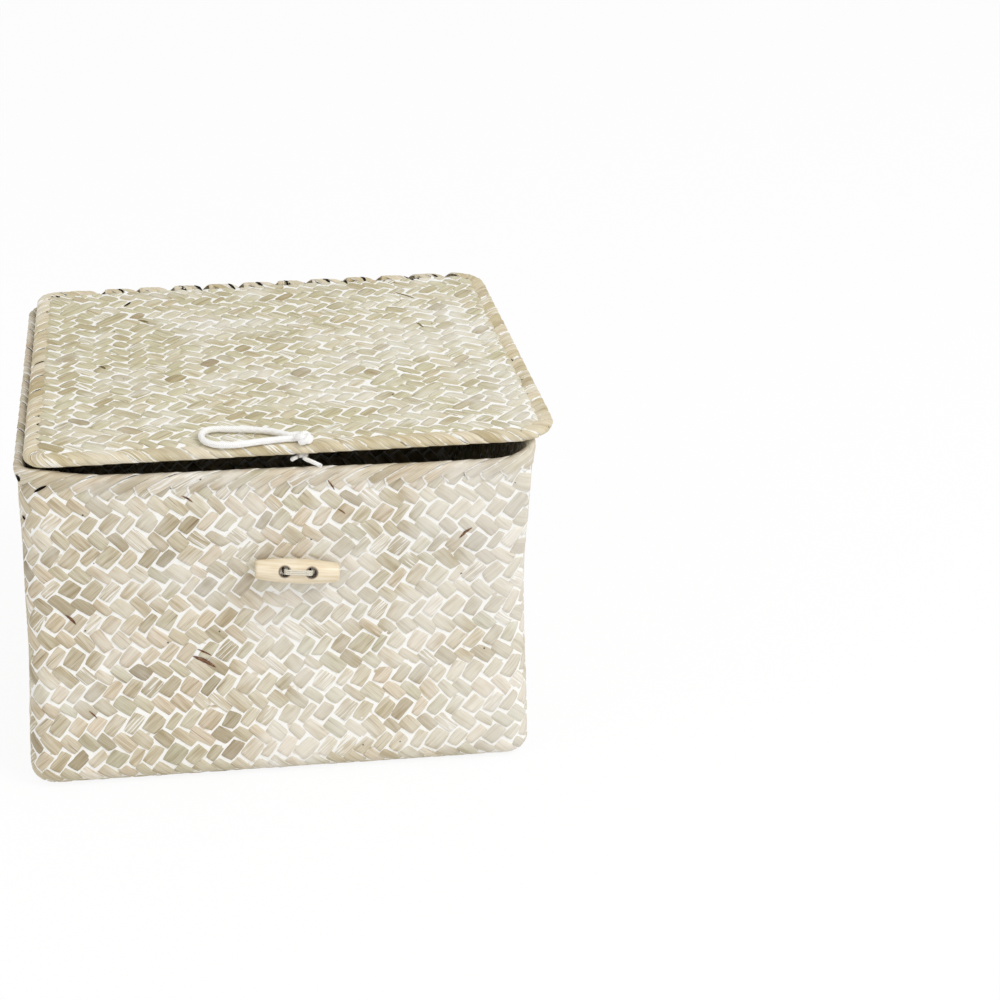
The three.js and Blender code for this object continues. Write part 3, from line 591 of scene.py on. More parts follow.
def float_tiles(weave, columns, seed, facing, joints=(0.9, -0.3), taper=0.05, turns=(-8, 3), roundest=0.1):
    """The floats as domed tiles whose edges and ends sink into the joints.
    joints are the mean gaps at a float's ends and along its sides, taper how much narrower its ends
    are, turns the degrees that rising and falling ones turn, and roundest the roundest corner.
    Gives their places on the sheet, their lifts and the maps for the material, tile by tile."""
    draw = np.random.default_rng(seed)
    slopes, own, first, last = weave.T
    count = len(weave)
    repeat = columns // 2
    rising_bound = strip_bounds(repeat, seed + 50)
    falling_bound = strip_bounds(repeat, seed + 60)
    rises = slopes > 0
    along_low = np.where(rises, falling_bound(first), rising_bound(first))
    along_high = np.where(rises, falling_bound(last + 1), rising_bound(last + 1))
    across_low = np.where(rises, rising_bound(own), falling_bound(own))
    across_high = np.where(rises, rising_bound(own + 1), falling_bound(own + 1))
    joint = np.clip(draw.normal(np.repeat(joints, 2)[:, None], JOINT_SPREAD, (4, count)), *JOINT_LIMITS)
    along_low, along_high = along_low + joint[0], along_high - joint[1]
    across_low, across_high = across_low + joint[2], across_high - joint[3]
    turn = np.radians(draw.normal(np.where(rises, *turns), TURN_SPREAD))
    height = (TILE_CROWN + draw.normal(0, CROWN_SPREAD, count))[:, None]
    curl = draw.normal(0, CURL_SPREAD, count)[:, None]
    bow_along, bow_across = draw.normal(0, BOW_SPREAD, (2, count))[..., None]

    a, b = np.meshgrid(FLOAT_ALONG, FLOAT_ACROSS, indexing="ij")
    a, b = a.ravel()[None], b.ravel()[None]
    edge = np.maximum(np.abs(a) >= 0.99, np.abs(b) >= 0.99)
    corner = (np.abs(a) > 0.9) & (np.abs(b) > 0.8) & ~edge
    ring = ((np.abs(b) > 0.8) | (np.abs(a) > 0.9)) & ~edge
    crown_share = np.where(corner, CORNER_CROWN_SHARE, np.where(ring, RING_CROWN_SHARE, 1))
    lift = np.where(edge, -TILE_SINK, height * crown_share)
    lift = lift + np.where(edge, 0, curl * b + FACE_ROUGHNESS * draw.normal(size=lift.shape))
    rounding = draw.uniform(LEAST_ROUNDING, roundest, count)[:, None]
    square = 1 - rounding * (a * b) ** 4
    half_along = ((along_high - along_low) / 2)[:, None]
    half_across = ((across_high - across_low) / 2)[:, None]
    slanted_ends = draw.normal(0, END_SLANT_SPREAD, (2, count))[:, :, None]
    along = a * square * half_along + bow_along * (1 - b ** 2)
    along = along + b * np.abs(a) * np.where(a < 0, *slanted_ends)
    narrowing = (1 - taper * a ** 2) * (1 + a * draw.normal(0, WEDGE_SPREAD, count)[:, None])
    across = b * (1 - 1.6 * (1 - square)) * narrowing * half_across + bow_across * (1 - a ** 2)
    cos, sin = np.cos(turn)[:, None], np.sin(turn)[:, None]
    along, across = along * cos - across * sin, along * sin + across * cos
    along = along + ((along_low + along_high) / 2)[:, None]
    across = across + ((across_low + across_high) / 2)[:, None]
    # A rising strip runs up to the right, and its number grows downwards; a falling one's grows upwards
    x = (along + across) * math.sqrt(0.5)
    y = np.where(rises[:, None], along - across, across - along) * math.sqrt(0.5)

    kinds, kind_index = np.unique(slopes * repeat + np.mod(own, repeat), return_inverse=True)
    strip_lot = np.random.default_rng(seed + 100).random(len(kinds))[kind_index][:, None]
    strip = np.stack([along, across + strip_lot * LOT_REACH], axis=-1)
    nothing = np.zeros_like(x)
    lots = np.stack([strip_lot + nothing, draw.random(count)[:, None] + nothing,
                     np.where(edge, 1.0, np.where(corner, 0.3, 0.0)) + nothing], axis=-1)
    local = np.stack([(a[0] + 1) / 2, (b[0] + 1) / 2], axis=-1)
    grid = grid_faces(len(FLOAT_ALONG), len(FLOAT_ACROSS))
    faces = np.concatenate([
        (grid if rise else grid[:, ::-1]) + index * a.size for index, rise in enumerate(rises)])
    return x, y, lift, strip, lots, local, faces[:, ::facing]


# How rough the ground is and how deep it lies under its sheet's face
GROUND_ROUGHNESS = 0.09
GROUND_SINK = 0.04
# The floats take this share of a bake sheet, and the ground the rest of it inside its margin
FLOATS_BAKE_SHARE = 0.72
BAKE_MARGIN = 0.002


def woven_piece(name, tiles, across, up, surface, material, body, node):
    """Floats over a rough ground of chalky paint that spans the places across and up.
    surface turns places on the sheet and lifts into points."""
    x, y, lift, strip, lots, local, faces = tiles
    moved = wander(x, y)
    points = surface(x + moved[..., 0], y + moved[..., 1], lift).reshape(-1, 3)

    gx, gy = np.meshgrid(across, up)
    rough = np.random.default_rng(len(x)).normal(0, GROUND_ROUGHNESS, gx.shape)
    rough[:, -1] = rough[:, 0]
    ground_points = surface(gx, gy, rough - GROUND_SINK).reshape(-1, 3)
    spread = np.stack([(gx - across[0]) / np.ptp(across), (gy - up[0]) / np.ptp(up)], axis=-1).reshape(-1, 2)
    low = np.array([BAKE_MARGIN, FLOATS_BAKE_SHARE + 2 * BAKE_MARGIN])
    ground_bake = low + spread * (1 - 2 * BAKE_MARGIN - np.array([0, low[1]]))
    return make_piece(
        name, np.concatenate([points, ground_points]),
        np.concatenate([faces, grid_faces(len(up), len(across)) + len(points)]), material, body, node,
        strip=np.concatenate([strip.reshape(-1, 2), np.stack([gx, gy], axis=-1).reshape(-1, 2)]),
        lots=np.concatenate([lots.reshape(-1, 3), np.broadcast_to([0.5, 0.5, 1.0], (gx.size, 3))]),
        bake=np.concatenate([bake_cells(len(x), local, FLOATS_BAKE_SHARE), ground_bake]))


GROUND_DEPTH = 0.45


def make_walls(wall_material, lining_material):
    columns = 2 * round(WALL_OUTLINE.length / STRIP_SPACING)
    stretch = WALL_OUTLINE.length / (columns * STEP)
    bottom = BASE_EDGE * (1 - math.pi / 2)
    top = BODY_HEIGHT - RIM_OUTER_BAND + 1 + STEP
    rows = int((top - bottom) / STEP) + 2
    weave = floats(columns, rows, lambda column, row: row % 4 < 2, lambda column, row: True, wrap=True)

    def walls(name, inset, facing, material, node, seed, step):
        def surface(x, y, lift):
            level = np.clip(top - STEP * (rows - 1) + y, bottom, top + 2)
            return wall_point(x * stretch, level, inset + facing * GROUND_DEPTH, facing * lift)

        across = np.linspace(0, WALL_OUTLINE.length / stretch, int(WALL_OUTLINE.length / step) + 1)
        up = np.arange(0, rows * STEP, step) - STEP
        tiles = float_tiles(weave, columns, seed, facing)
        return woven_piece(name, tiles, across, up, surface, material, "box", node)

    outer_wall = walls("outer_wall_weave", 0, 1, wall_material, "body_outer_weave", 11, 3.4)
    walls("lining_wall_weave", STACK, -1, lining_material, "body_lining_weave", 12, 4.7)
    return outer_wall


def corner_radius(radii, x, y):
    front_left, front_right, rear_right, rear_left = radii
    return np.where(y < 0, np.where(x < 0, front_left, front_right), np.where(x < 0, rear_left, rear_right))


# How far past its rounded rectangle a flat sheet's points may be
SHEET_OVERHANG = 1.5


def make_flat_weave(name, half_x, half_y, radii, surface, material, body, slot, seed,
                    node=None, facing=1, mitred=False, ground_reach=0.4, **tile_looks):
    """A flat sheet of the weave inside a rounded rectangle about its own middle."""
    columns = 2 * math.ceil(half_x / STEP) + 1
    rows = 2 * math.ceil(half_y / STEP) + 1
    middle_column, middle_row = (columns - 1) // 2, (rows - 1) // 2

    def rising(column, row):
        beside = middle_column - abs(column - middle_column)
        ahead = middle_row - abs(row - middle_row)
        if mitred and beside < ahead:
            return (column - middle_column) % 4 < 2
        return (row - middle_row + 1) % 4 < 2

    def inside(column, row):
        corner = corner_radius(radii, column - middle_column, row - middle_row)
        x, y = abs(column - middle_column) * STEP, abs(row - middle_row) * STEP
        over_x, over_y = x - (half_x - corner), y - (half_y - corner)
        in_corner = over_x < 0 or over_y < 0 or math.hypot(over_x, over_y) < corner
        return x <= half_x and y <= half_y and in_corner

    def placed(x, y, lift):
        x = np.clip(x - middle_column * STEP, -half_x - SHEET_OVERHANG, half_x + SHEET_OVERHANG)
        y = np.clip(y - middle_row * STEP, -half_y - SHEET_OVERHANG, half_y + SHEET_OVERHANG)
        corner = corner_radius(radii, x, y)
        over_x = np.maximum(np.abs(x) - (half_x - corner), 0)
        over_y = np.maximum(np.abs(y) - (half_y - corner), 0)
        over = np.hypot(over_x, over_y)
        most = corner + SHEET_OVERHANG
        pull = np.where((over_x > 0) & (over_y > 0) & (over > most), most / np.maximum(over, 1e-6), 1)
        x = np.sign(x) * (np.minimum(np.abs(x), half_x - corner) + over_x * pull)
        y = np.sign(y) * (np.minimum(np.abs(y), half_y - corner) + over_y * pull)
        return surface(x, y, lift)

    tiles = float_tiles(floats(columns, rows, rising, inside), columns, seed, facing, **tile_looks)
    across = middle_column * STEP + np.linspace(-1, 1, middle_column * 3) * (half_x + ground_reach)
    up = middle_row * STEP + np.linspace(-1, 1, middle_row * 3) * (half_y + ground_reach)
    return woven_piece(name, tiles, across, up, placed, material, body, node)


LID_PATH_HALF_X = LID_WIDTH / 2 - FOLD_FULL_REACH
LID_PATH_FRONT = FOLD_LOW[1] + FOLD_FULL_REACH
LID_PATH_HALF_Y = (HINGE_Y - LID_PATH_FRONT) / 2
LID_CENTRE_Y = (HINGE_Y + LID_PATH_FRONT) / 2


def lid_place(x, y, z):
    return narrow(x + LID_SHIFT, y + LID_CENTRE_Y, z)


def make_floors(wall_material, lining_material):
    size = (WALL_HALF_X - BASE_EDGE, WALL_HALF_Y - BASE_EDGE, (WALL_CORNER - BASE_EDGE,) * 4)

    def base_surface(x, y, lift):
        return narrow(x, y, np.maximum(GROUND_DEPTH - lift, 0.02))

    def floor_surface(x, y, lift):
        return narrow(x, y, STACK - GROUND_DEPTH + lift)

    make_flat_weave("base_weave", *size, base_surface, wall_material, "box", "seagrass_wall", 21,
                    facing=-1, ground_reach=2)
    make_flat_weave("inner_floor_weave", *size, floor_surface, lining_material, "box", "seagrass_lining", 22,
                    ground_reach=2)


# Near its edge the lid's weave rises by this much, between these distances, and then droops over it
LID_EDGE_RISE = 0.5
LID_RISE_REACH = (2, 16)
LID_EDGE_DROOP = 0.9
LID_DROOP_REACH = 2.5


def make_lid(lid_material, lining_material):
    half_x, half_y = LID_PATH_HALF_X + LID_WEAVE_REACH, LID_PATH_HALF_Y + LID_WEAVE_REACH
    radii = tuple(radius - FOLD_FULL_REACH + LID_WEAVE_REACH for radius in LID_CORNERS)

    def lid_surface(side):
        def surface(x, y, lift):
            beside = half_x - np.abs(x)
            ahead = half_y - np.abs(y)
            corner = corner_radius(radii, x, y)
            over = np.hypot(np.maximum(corner - beside, 0), np.maximum(corner - ahead, 0))
            inward = np.minimum(np.minimum(beside, ahead), corner - over)
            rise = LID_EDGE_RISE * (1 - smooth_step(inward, *LID_RISE_REACH))
            droop = LID_EDGE_DROOP * np.clip(1 - inward / LID_DROOP_REACH, 0, 1.4) ** 2
            return lid_place(x, y, HINGE_Z + side * (LID_CROWN + rise - droop + lift))
        return surface

    top = make_flat_weave("lid_top_weave_strips", half_x, half_y, radii, lid_surface(1), lid_material,
                          "lid", "seagrass_lid", 23, "lid_top_weave", mitred=True, joints=(0.65, -0.15),
                          taper=0.16, turns=(-3, 9), roundest=0.2)
    make_flat_weave("lid_under_weave_strips", half_x, half_y, radii, lid_surface(-1), lining_material,
                    "lid", "seagrass_lining", 24, "lid_under_weave", facing=-1, mitred=True)
    return top


# Folded edges

def section_rows(corners, spacing=1.3):
    """Evenly spaced rows along a section of (out, up) corners, with their outward directions."""
    corners = np.array(corners, float)
    marks = distances(corners)
    rows = np.linspace(0, marks[-1], int(marks[-1] / spacing) + 1)
    spots = at_distances(rows, marks, corners)
    for _ in range(2):
        spots[1:-1] = (spots[:-2] + 2 * spots[1:-1] + spots[2:]) / 4
    return rows, spots, right_of(spots)


def right_of(path):
    """The directions square to a path in a plane, on its right."""
    headings = np.gradient(path, axis=0)
    square = np.stack([headings[:, 1], -headings[:, 0]], axis=-1)
    return square / np.hypot(*square.T)[:, None]


# A strip's section from its tucked edge to its lapping edge: place along the edge, lift and paint
LAP_PLACES = np.array([-0.12, -0.02, 0.04, 0.3, 0.65, 0.88, 0.95, 0.98])
LAP_LIFTS = np.array([-0.8, -0.2, 0.06, 0.16, 0.26, 0.34, 0.24, -0.3])
LAP_JOINTS = np.array([1, 1, 0.7, 0, 0, 0, 0.5, 1])
# How far from its ends a strip's cut shows in its shape, and how deep the ends sink
END_FADE = 5
END_SINK = 0.7
# How much the strips vary: the place of their laps, as a share of their width, their lift, the way
# that they lean and the roughness of their faces
LAP_PLACE_SPREAD = 0.07
LAP_LIFT_SPREAD = 0.12
LAP_LEAN_SPREAD = 0.04
LAP_ROUGHNESS = 0.05
# How far the fibres of a strip are shifted along it for each millimetre of the edge
FIBRE_SHIFT = 7


def folded_strips(name, outline, spans, section, slant, place, material, body, node, seed, ragged=0.4):
    """Slanted strips folded over an edge. spans are the stretches of the edge that each strip takes.
    The strips' ends are cut square to them, and ragged is how far they vary."""
    rows, spots, outward = section_rows(section)
    draw = np.random.default_rng(seed)
    starts, widths = np.array(spans).T[:, :, None, None]
    count = len(starts)
    lots = draw.random((count, 2))
    moves = np.append(draw.normal(0, LAP_PLACE_SPREAD, count), 0)[:, None, None]
    low = starts + widths * np.roll(moves, 1, axis=0)[:count]
    high = starts + widths * (1 + moves[:count])
    laps = low + (high - low) * LAP_PLACES
    square_cut = widths * math.cos(slant) * math.sin(slant) * (LAP_PLACES - 0.5)
    first_ends, last_ends = draw.normal(0, ragged, (2, count))[:, :, None, None] - square_cut
    near_first = np.clip(1 - rows / END_FADE, 0, 1)[None, :, None]
    near_last = np.clip(1 - (rows[-1] - rows) / END_FADE, 0, 1)[None, :, None]
    travel = rows[None, :, None] + first_ends * near_first + last_ends * near_last
    swell = draw.normal(0, LAP_LIFT_SPREAD, count)[:, None, None]
    skew = draw.normal(0, LAP_LEAN_SPREAD, count)[:, None, None]
    along = laps + travel / math.tan(slant) * (1 + skew)
    rough = LAP_ROUGHNESS * draw.normal(size=(count, len(rows), 1))
    lift = LAP_LIFTS * (1 + swell) + rough * (LAP_LIFTS > 0)
    lift = lift - np.where((rows == rows[0]) | (rows == rows[-1]), END_SINK, 0)[None, :, None]
    spot, direction = outline.at(along)

    def across_rows(values):
        step = rows[1] - rows[0]
        before = np.minimum(travel, 0) * (values[1] - values[0]) / step
        after = np.maximum(travel - rows[-1], 0) * (values[-1] - values[-2]) / step
        return np.interp(travel, rows, values) + before + after

    out = across_rows(spots[:, 0]) + across_rows(outward[:, 0]) * lift
    up = across_rows(spots[:, 1]) + across_rows(outward[:, 1]) * lift
    spread = (LAP_PLACES - LAP_PLACES[0]) / np.ptp(LAP_PLACES)
    local = np.stack(np.meshgrid(rows / rows[-1], spread, indexing="ij"), axis=-1).reshape(-1, 2)
    grid = grid_faces(len(rows), len(LAP_PLACES))[:, ::-1]
    faces = (grid + np.arange(count)[:, None, None] * len(local)).reshape(-1, 4)
    steepness = math.sin(abs(slant))
    nothing = np.zeros_like(travel)
    strip_lot, float_lot = lots.T[:, :, None, None]
    strip = np.stack([travel / steepness + starts * FIBRE_SHIFT,
                      widths * steepness * LAP_PLACES + strip_lot * LOT_REACH + nothing], axis=-1)
    joint = LAP_JOINTS + nothing
    joint[:, 0] = 1
    strip_lots = np.stack([strip_lot + nothing, float_lot + nothing, joint], axis=-1)
    return make_piece(name, place(spot, direction, out, up).reshape(-1, 3), faces, material, body,
                      node, strip=strip.reshape(-1, 2), lots=strip_lots.reshape(-1, 3),
                      bake=bake_cells(count, local, 1))


def even_spans(start, length, spacing):
    count = max(1, round(length / spacing))
    width = length / count
    return [(start + index * width, width) for index in range(count)]


def make_rim(material):
    top = -FOLD_RELIEF
    shoulder = top - FOLD_SHOULDER
    wall_face = STACK / 2 + RIM_FACE_GAP
    section = [(wall_face, -RIM_BAND_SHOWN), (wall_face + 0.2, -0.6 * RIM_BAND_SHOWN),
               (FOLD_FULL_REACH, shoulder), (FOLD_REACH - FOLD_SHOULDER, top),
               (FOLD_SHOULDER - FOLD_REACH, top), (-FOLD_REACH, shoulder),
               (-wall_face - 0.15, -0.6 * RIM_INNER_BAND), (-wall_face, -RIM_INNER_BAND)]
    radius = BODY_CORNER - FOLD_FULL_REACH
    outline = Outline(BODY_WIDTH / 2 - FOLD_FULL_REACH, BODY_DEPTH / 2 - FOLD_FULL_REACH, (radius,) * 4)

    def place(spot, direction, out, up):
        flat = spot + direction * out[..., None] + stretched_corner(direction, radius, BODY_HEIGHT + up)
        return narrow(flat[..., 0] + RIM_SHIFT, flat[..., 1], rim_top(spot[..., 0], spot[..., 1]) + up)

    return folded_strips("rim_folded_strips", outline, even_spans(0, outline.length, STRIP_SPACING), section,
                         RIM_SLANT, place, material, "box", "body_rim_fold", 31)


def strap_middles():
    lows_highs = [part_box(f"hinge_strap_{number:02d}") for number in range(1, 12)]
    return [(low[0] + high[0]) / 2 / MM for low, high in lows_highs]


def make_lid_edge(material):
    eighth = FOLD_REACH * math.tan(math.pi / 8)
    side = [(-6.6, 1.9), (-4, 2.45), (-1, 2.6), (eighth, FOLD_REACH - 0.1), (FOLD_REACH, eighth)]
    section = [(out, -up) for out, up in side] + side[::-1]
    radii = tuple(radius - FOLD_FULL_REACH for radius in LID_CORNERS)
    outline = Outline(LID_PATH_HALF_X, LID_PATH_HALF_Y, radii)
    rear_share = width_share(HINGE_Y)
    rear_start = outline.marks[np.argmax(outline.spots[:, 1] > LID_PATH_HALF_Y - 1e-6)]
    rear_x = LID_PATH_HALF_X - LID_CORNERS[2] + FOLD_FULL_REACH

    # The rear has short strips between the straps, and the rest of the edge has whole ones
    gap = (STRAP_WIDTH / 2 + STRAP_SIDE_GAP) / rear_share
    straps = sorted(rear_start + rear_x - (x / rear_share - LID_SHIFT) for x in strap_middles())
    spans = []
    for before, after in zip(straps, straps[1:]):
        spans += even_spans(before + gap, after - before - 2 * gap, STRIP_SPACING / 2)
    round_start = straps[-1] + gap
    spans += even_spans(round_start, outline.length - round_start + straps[0] - gap, STRIP_SPACING)

    def place(spot, direction, out, up):
        flat = spot + direction * out[..., None]
        return lid_place(flat[..., 0], flat[..., 1], HINGE_Z + up)

    return folded_strips("lid_edge_folded_strips", outline, spans, section, -LID_SLANT, place, material,
                         "lid", "lid_edge_fold", 32, ragged=0.9)


# Tubes for cords and thread

def smooth_path(points, spacing=0.55):
    """A smooth curve through the points, with samples evenly spaced along it."""
    points = np.array(points, float)
    padded = np.concatenate([2 * points[:1] - points[1:2], points, 2 * points[-1:] - points[-2:-1]])
    samples = []
    for index in range(len(points) - 1):
        p0, p1, p2, p3 = padded[index:index + 4]
        t = np.linspace(0, 1, 24, endpoint=False)[:, None]
        samples.append(0.5 * (2 * p1 + (p2 - p0) * t + (2 * p0 - 5 * p1 + 4 * p2 - p3) * t ** 2
                              + (3 * p1 - p0 - 3 * p2 + p3) * t ** 3))
    samples = np.concatenate([*samples, points[-1:]])
    marks = distances(samples)
    count = max(2, round(marks[-1] / spacing) + 1)
    return at_distances(np.linspace(0, marks[-1], count), marks, samples)


def tube_mesh(path, radius, sides, profile, closed=False):
    """A tube along a path, its radius shaped by profile(distance, angle)."""
    path = np.array(path)
    count = len(path)
    if closed:
        ahead = np.roll(path, -1, axis=0) - np.roll(path, 1, axis=0)
    else:
        ahead = np.gradient(path, axis=0)
    ahead = ahead / np.linalg.norm(ahead, axis=1)[:, None]
    side = np.zeros_like(path)
    start = np.cross(ahead[0], (0, 0, 1) if abs(ahead[0][2]) < 0.9 else (0, 1, 0))
    side[0] = start / np.linalg.norm(start)
    for index in range(1, count):
        carried = side[index - 1] - ahead[index] * np.dot(side[index - 1], ahead[index])
        side[index] = carried / np.linalg.norm(carried)
    up = np.cross(ahead, side)
    distance = distances(path)[:, None]
    angle = np.linspace(0, 2 * np.pi, sides, endpoint=False)
    reach = radius * profile(distance, angle[None])
    points = (path[:, None] + side[:, None] * (np.cos(angle) * reach)[..., None]
              + up[:, None] * (np.sin(angle) * reach)[..., None]).reshape(-1, 3)
    faces = grid_faces(count, sides, closed=True)[:, ::-1]
    strip = np.stack(np.broadcast_arrays(distance, angle[None] * radius), axis=-1).reshape(-1, 2)
    ring = np.arange(sides)
    around = (ring + 1) % sides
    if closed:
        last = (count - 1) * sides
        seam = np.stack([last + ring, ring, around, last + around], axis=-1)
        return points, strip, np.concatenate([faces, seam])

    # Each end is closed with a small dome of one ring and a middle point, in shares of the radius
    dome_width, dome_height, tip_height = 0.6, 0.25, 0.35
    for end, sign in ((0, -1), (count - 1, 1)):
        base = end * sides + ring
        start = len(points)
        dome = path[end] + (points[base] - path[end]) * dome_width + ahead[end] * sign * radius * dome_height
        middle = path[end] + ahead[end] * sign * radius * tip_height
        tip = np.full(sides, start + sides)
        quads = np.stack([base, base[around], start + around, start + ring][::sign], axis=-1)
        fans = np.stack([*[start + ring, start + around][::sign], tip, tip], axis=-1)
        points = np.concatenate([points, dome, middle[None]])
        strip = np.concatenate([strip, strip[base], strip[base[:1]]])
        faces = np.concatenate([faces, quads, fans])
    return points, strip, faces


# How far the ridges of the braid and of the thread's plies go on while they shift by one ridge's
# spacing, and the share of the radius that they stand up
BRAID_LAY = 4.2
BRAID_RIDGE_SHARE = 0.07
PLY_LAY = 2.2
PLY_RIDGE_SHARE = 0.1


def braid(distance, angle):
    """Eight yarns plaited round a core: two sets of four ridges that cross."""
    one = np.cos(4 * angle + 2 * np.pi * distance / BRAID_LAY)
    other = np.cos(4 * angle - 2 * np.pi * distance / BRAID_LAY)
    return 1 - BRAID_RIDGE_SHARE + BRAID_RIDGE_SHARE * np.maximum(one, other)


def twist(distance, angle):
    """Two plies twisted together."""
    return 1 - PLY_RIDGE_SHARE + PLY_RIDGE_SHARE * np.cos(2 * angle + 2 * np.pi * distance / PLY_LAY)


def make_tube(name, parts, material, body, node):
    points, strips, faces = zip(*parts)
    offsets = np.cumsum([0] + [len(part) for part in points])
    faces = np.concatenate([part + offset for part, offset in zip(faces, offsets)])
    return make_piece(name, np.concatenate(points), faces, material, body, node,
                      strip=np.concatenate(strips))


def make_cords(material):
    loop_path = smooth_path([(x, y, LOOP_HEIGHT) for x, y in LOOP_POINTS])
    loop = make_tube("loop_braided_cord", [tube_mesh(loop_path, CORD_RADIUS, 24, braid)], material,
                     "loop", "loop_cord")

    # The knot: an overhand knot pulled tight, with the cord that goes down through the lid
    x, y = KNOT_PLACE
    stem_x, stem_y = STEM_PLACE
    z = LOOP_HEIGHT + KNOT_LIFT
    angle = np.linspace(0, 2 * np.pi, 90, endpoint=False)
    reach = KNOT_REACH + KNOT_LOBE * np.cos(3 * angle)
    turned = 2 * angle + KNOT_TURN
    tied = np.stack([x + reach * np.cos(turned), y + reach * np.sin(turned),
                     z + KNOT_RISE * np.sin(3 * angle)], axis=-1)
    stem = smooth_path([(stem_x, stem_y, BODY_HEIGHT - 1), (stem_x, stem_y, LOOP_HEIGHT - 1),
                        (stem_x, stem_y - 1.6, LOOP_HEIGHT + 1.2), (x, y + 2, z + 1)])
    parts = [tube_mesh(tied, CORD_RADIUS, 20, braid, closed=True), tube_mesh(stem, CORD_RADIUS, 20, braid)]
    for end_x, end_y in (LOOP_POINTS[0], LOOP_POINTS[-1]):
        strand = smooth_path([(end_x - 1, end_y, LOOP_HEIGHT), ((end_x + x) / 2, end_y, LOOP_HEIGHT + 0.1),
                              (x, (stem_y + y) / 2, LOOP_HEIGHT + 0.8)])
        parts.append(tube_mesh(strand, CORD_RADIUS - 0.04, 20, braid))
    knot = make_tube("loop_overhand_knot", parts, material, "loop", "loop_knot")

    # The stop knot under the lid: a small overhand knot of the same cord
    angle = np.linspace(0, 2 * np.pi, 60, endpoint=False)
    low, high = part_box("loop_stop_knot")
    ring = np.stack([stem_x + STOP_REACH * np.cos(angle), stem_y + STOP_REACH * np.sin(angle),
                     (low[2] + high[2]) / 2 / MM + 0.5 + 0.15 * np.sin(3 * angle)], axis=-1)
    stop = make_tube("loop_stop_knot_cord", [tube_mesh(ring, STOP_RADIUS, 20, braid, closed=True)], material,
                     "lid", "loop_stop_knot")
    for name, points, node in (("loop_long_tail_cord", LONG_TAIL_POINTS, "loop_tail_long"),
                               ("loop_short_tail_cord", SHORT_TAIL_POINTS, "loop_tail_short")):
        tail = tube_mesh(smooth_path(points, 0.5), TAIL_RADIUS, 18, braid)
        make_tube(name, [tail], material, "lid", node)


# Hinge straps

# A strap's section across its outer face, and the lift of its inner face
STRAP_ACROSS = np.array([-1, -0.9, -0.4, 0.1, 0.6, 0.92, 1])
STRAP_CROWN = np.array([-0.2, 0.3, 0.38, 0.4, 0.38, 0.3, -0.2])
STRAP_INNER_LIFT = np.full_like(STRAP_CROWN, -0.36)


def make_straps(material):
    """Each strap is a strip that goes round the lid's core and down the outside of the rim."""
    tail = HINGE_Z - BODY_HEIGHT + RIM_OUTER_BAND - FOLD_SHOULDER
    middle = STRAP_INNER + STRAP_THICKNESS / 2
    ring = [(middle * math.cos(a), middle * math.sin(a)) for a in np.linspace(0, 1.5 * np.pi + 0.35, 26)]
    line = np.array([(middle, -tail + step * tail / 6) for step in range(6)] + ring)
    outward = right_of(line)
    draw = np.random.default_rng(41)
    for number, x in enumerate(strap_middles(), 1):
        loops = []
        for lift, half_width, order in ((STRAP_CROWN, STRAP_WIDTH / 2, 1),
                                        (STRAP_INNER_LIFT, STRAP_WIDTH / 2 - 0.15, -1)):
            spots = line[:, None] + outward[:, None] * lift[None, :, None]
            widths = np.broadcast_to(x + STRAP_ACROSS * half_width, spots.shape[:2])
            points = np.stack([widths, HINGE_Y + spots[..., 0], HINGE_Z + spots[..., 1]], axis=-1)
            loops.append(points[:, ::order])
        points = np.concatenate(loops, axis=1)
        rows, columns = points.shape[:2]
        distance = np.linspace(0, tail + 1.5 * np.pi * middle, rows)[:, None]
        lots = draw.random(2)
        strip = np.broadcast_arrays(distance, points[0, :, 0][None] + lots[0] * STRAP_LOT_REACH)
        make_piece(f"hinge_strip_{number:02d}", points.reshape(-1, 3),
                   grid_faces(rows, columns, closed=True)[:, ::-1], material, "box",
                   f"hinge_strap_{number:02d}", strip=np.stack(strip, axis=-1).reshape(-1, 2),
                   lots=np.broadcast_to([*lots, 0.0], (rows * columns, 3)))


# Painted shade, near-black leaves laid on the strips where they part and the shadow under them shows, and
# loose fibres.
# Each has a start, an end and a width, in the plane that it is seen in

# The lid's leaves are painted shade: slits where the shadow under its rear strips shows
LID_PAINTED_SHADE_LEAVES = [
    (-68.5, 118, -64.6, 111, 1.7), (-61.5, 95, -65, 88.5, 1.5), (-35, 118, -30.8, 108.5, 1.6),
    (-26.3, 117, -22.4, 107, 2), (-8, 117, -4.5, 106.5, 1.7), (-2.2, 114, 0.2, 108, 1.1),
    (7.2, 117.5, 10.4, 109, 2), (22.4, 118, 25.6, 109, 1.6), (31.7, 118, 34.9, 111, 1.9),
    (44, 118, 47.5, 110, 1.7), (53.5, 115, 56.6, 106.5, 1.7), (64.3, 118, 67, 110.5, 1.6),
    (88.4, 115, 93.2, 107.5, 2), (94, 114, 96, 108, 1.2), (104, 115, 106.5, 109.5, 1.4),
    (-101, 111, -99.6, 107.5, 1.8)]
LID_LOOSE_FIBRES = [
    (81, 90, 90.6, 78.5, 0.9), (87, 42.5, 90.4, 34.5, 1), (-80.5, 2.5, -77, -3, 1.4),
    (-58, 66, -53, 62, 1.5)]
# The rim's leaves are painted shade in the crevice at its left end
RIM_PAINTED_SHADE_LEAVES = [
    (-122.6, 168.2, -121.6, 164.6, 1.7), (-114.6, 160.2, -108.2, 164.3, 1.5),
    (-121, 146.6, -120, 144.4, 1)]
WALL_BROWN_FIBRES = [
    (-42.8, 66.4, -31.3, 59.6, 1.9), (-40.5, 70, -33, 65.8, 0.9), (-103.5, 93, -98.5, 87.2, 1.4),
    (90.3, 122.8, 96.8, 128.4, 1.3), (-44.4, 154.6, -39, 150.7, 0.9), (26.2, 159, 29.6, 152.8, 0.8),
    (31, 142.8, 34.6, 139.9, 0.8), (-95, 41, -91, 36.5, 0.7)]
JOINT_STEPS = 9
JOINT_LIFT = 0.12
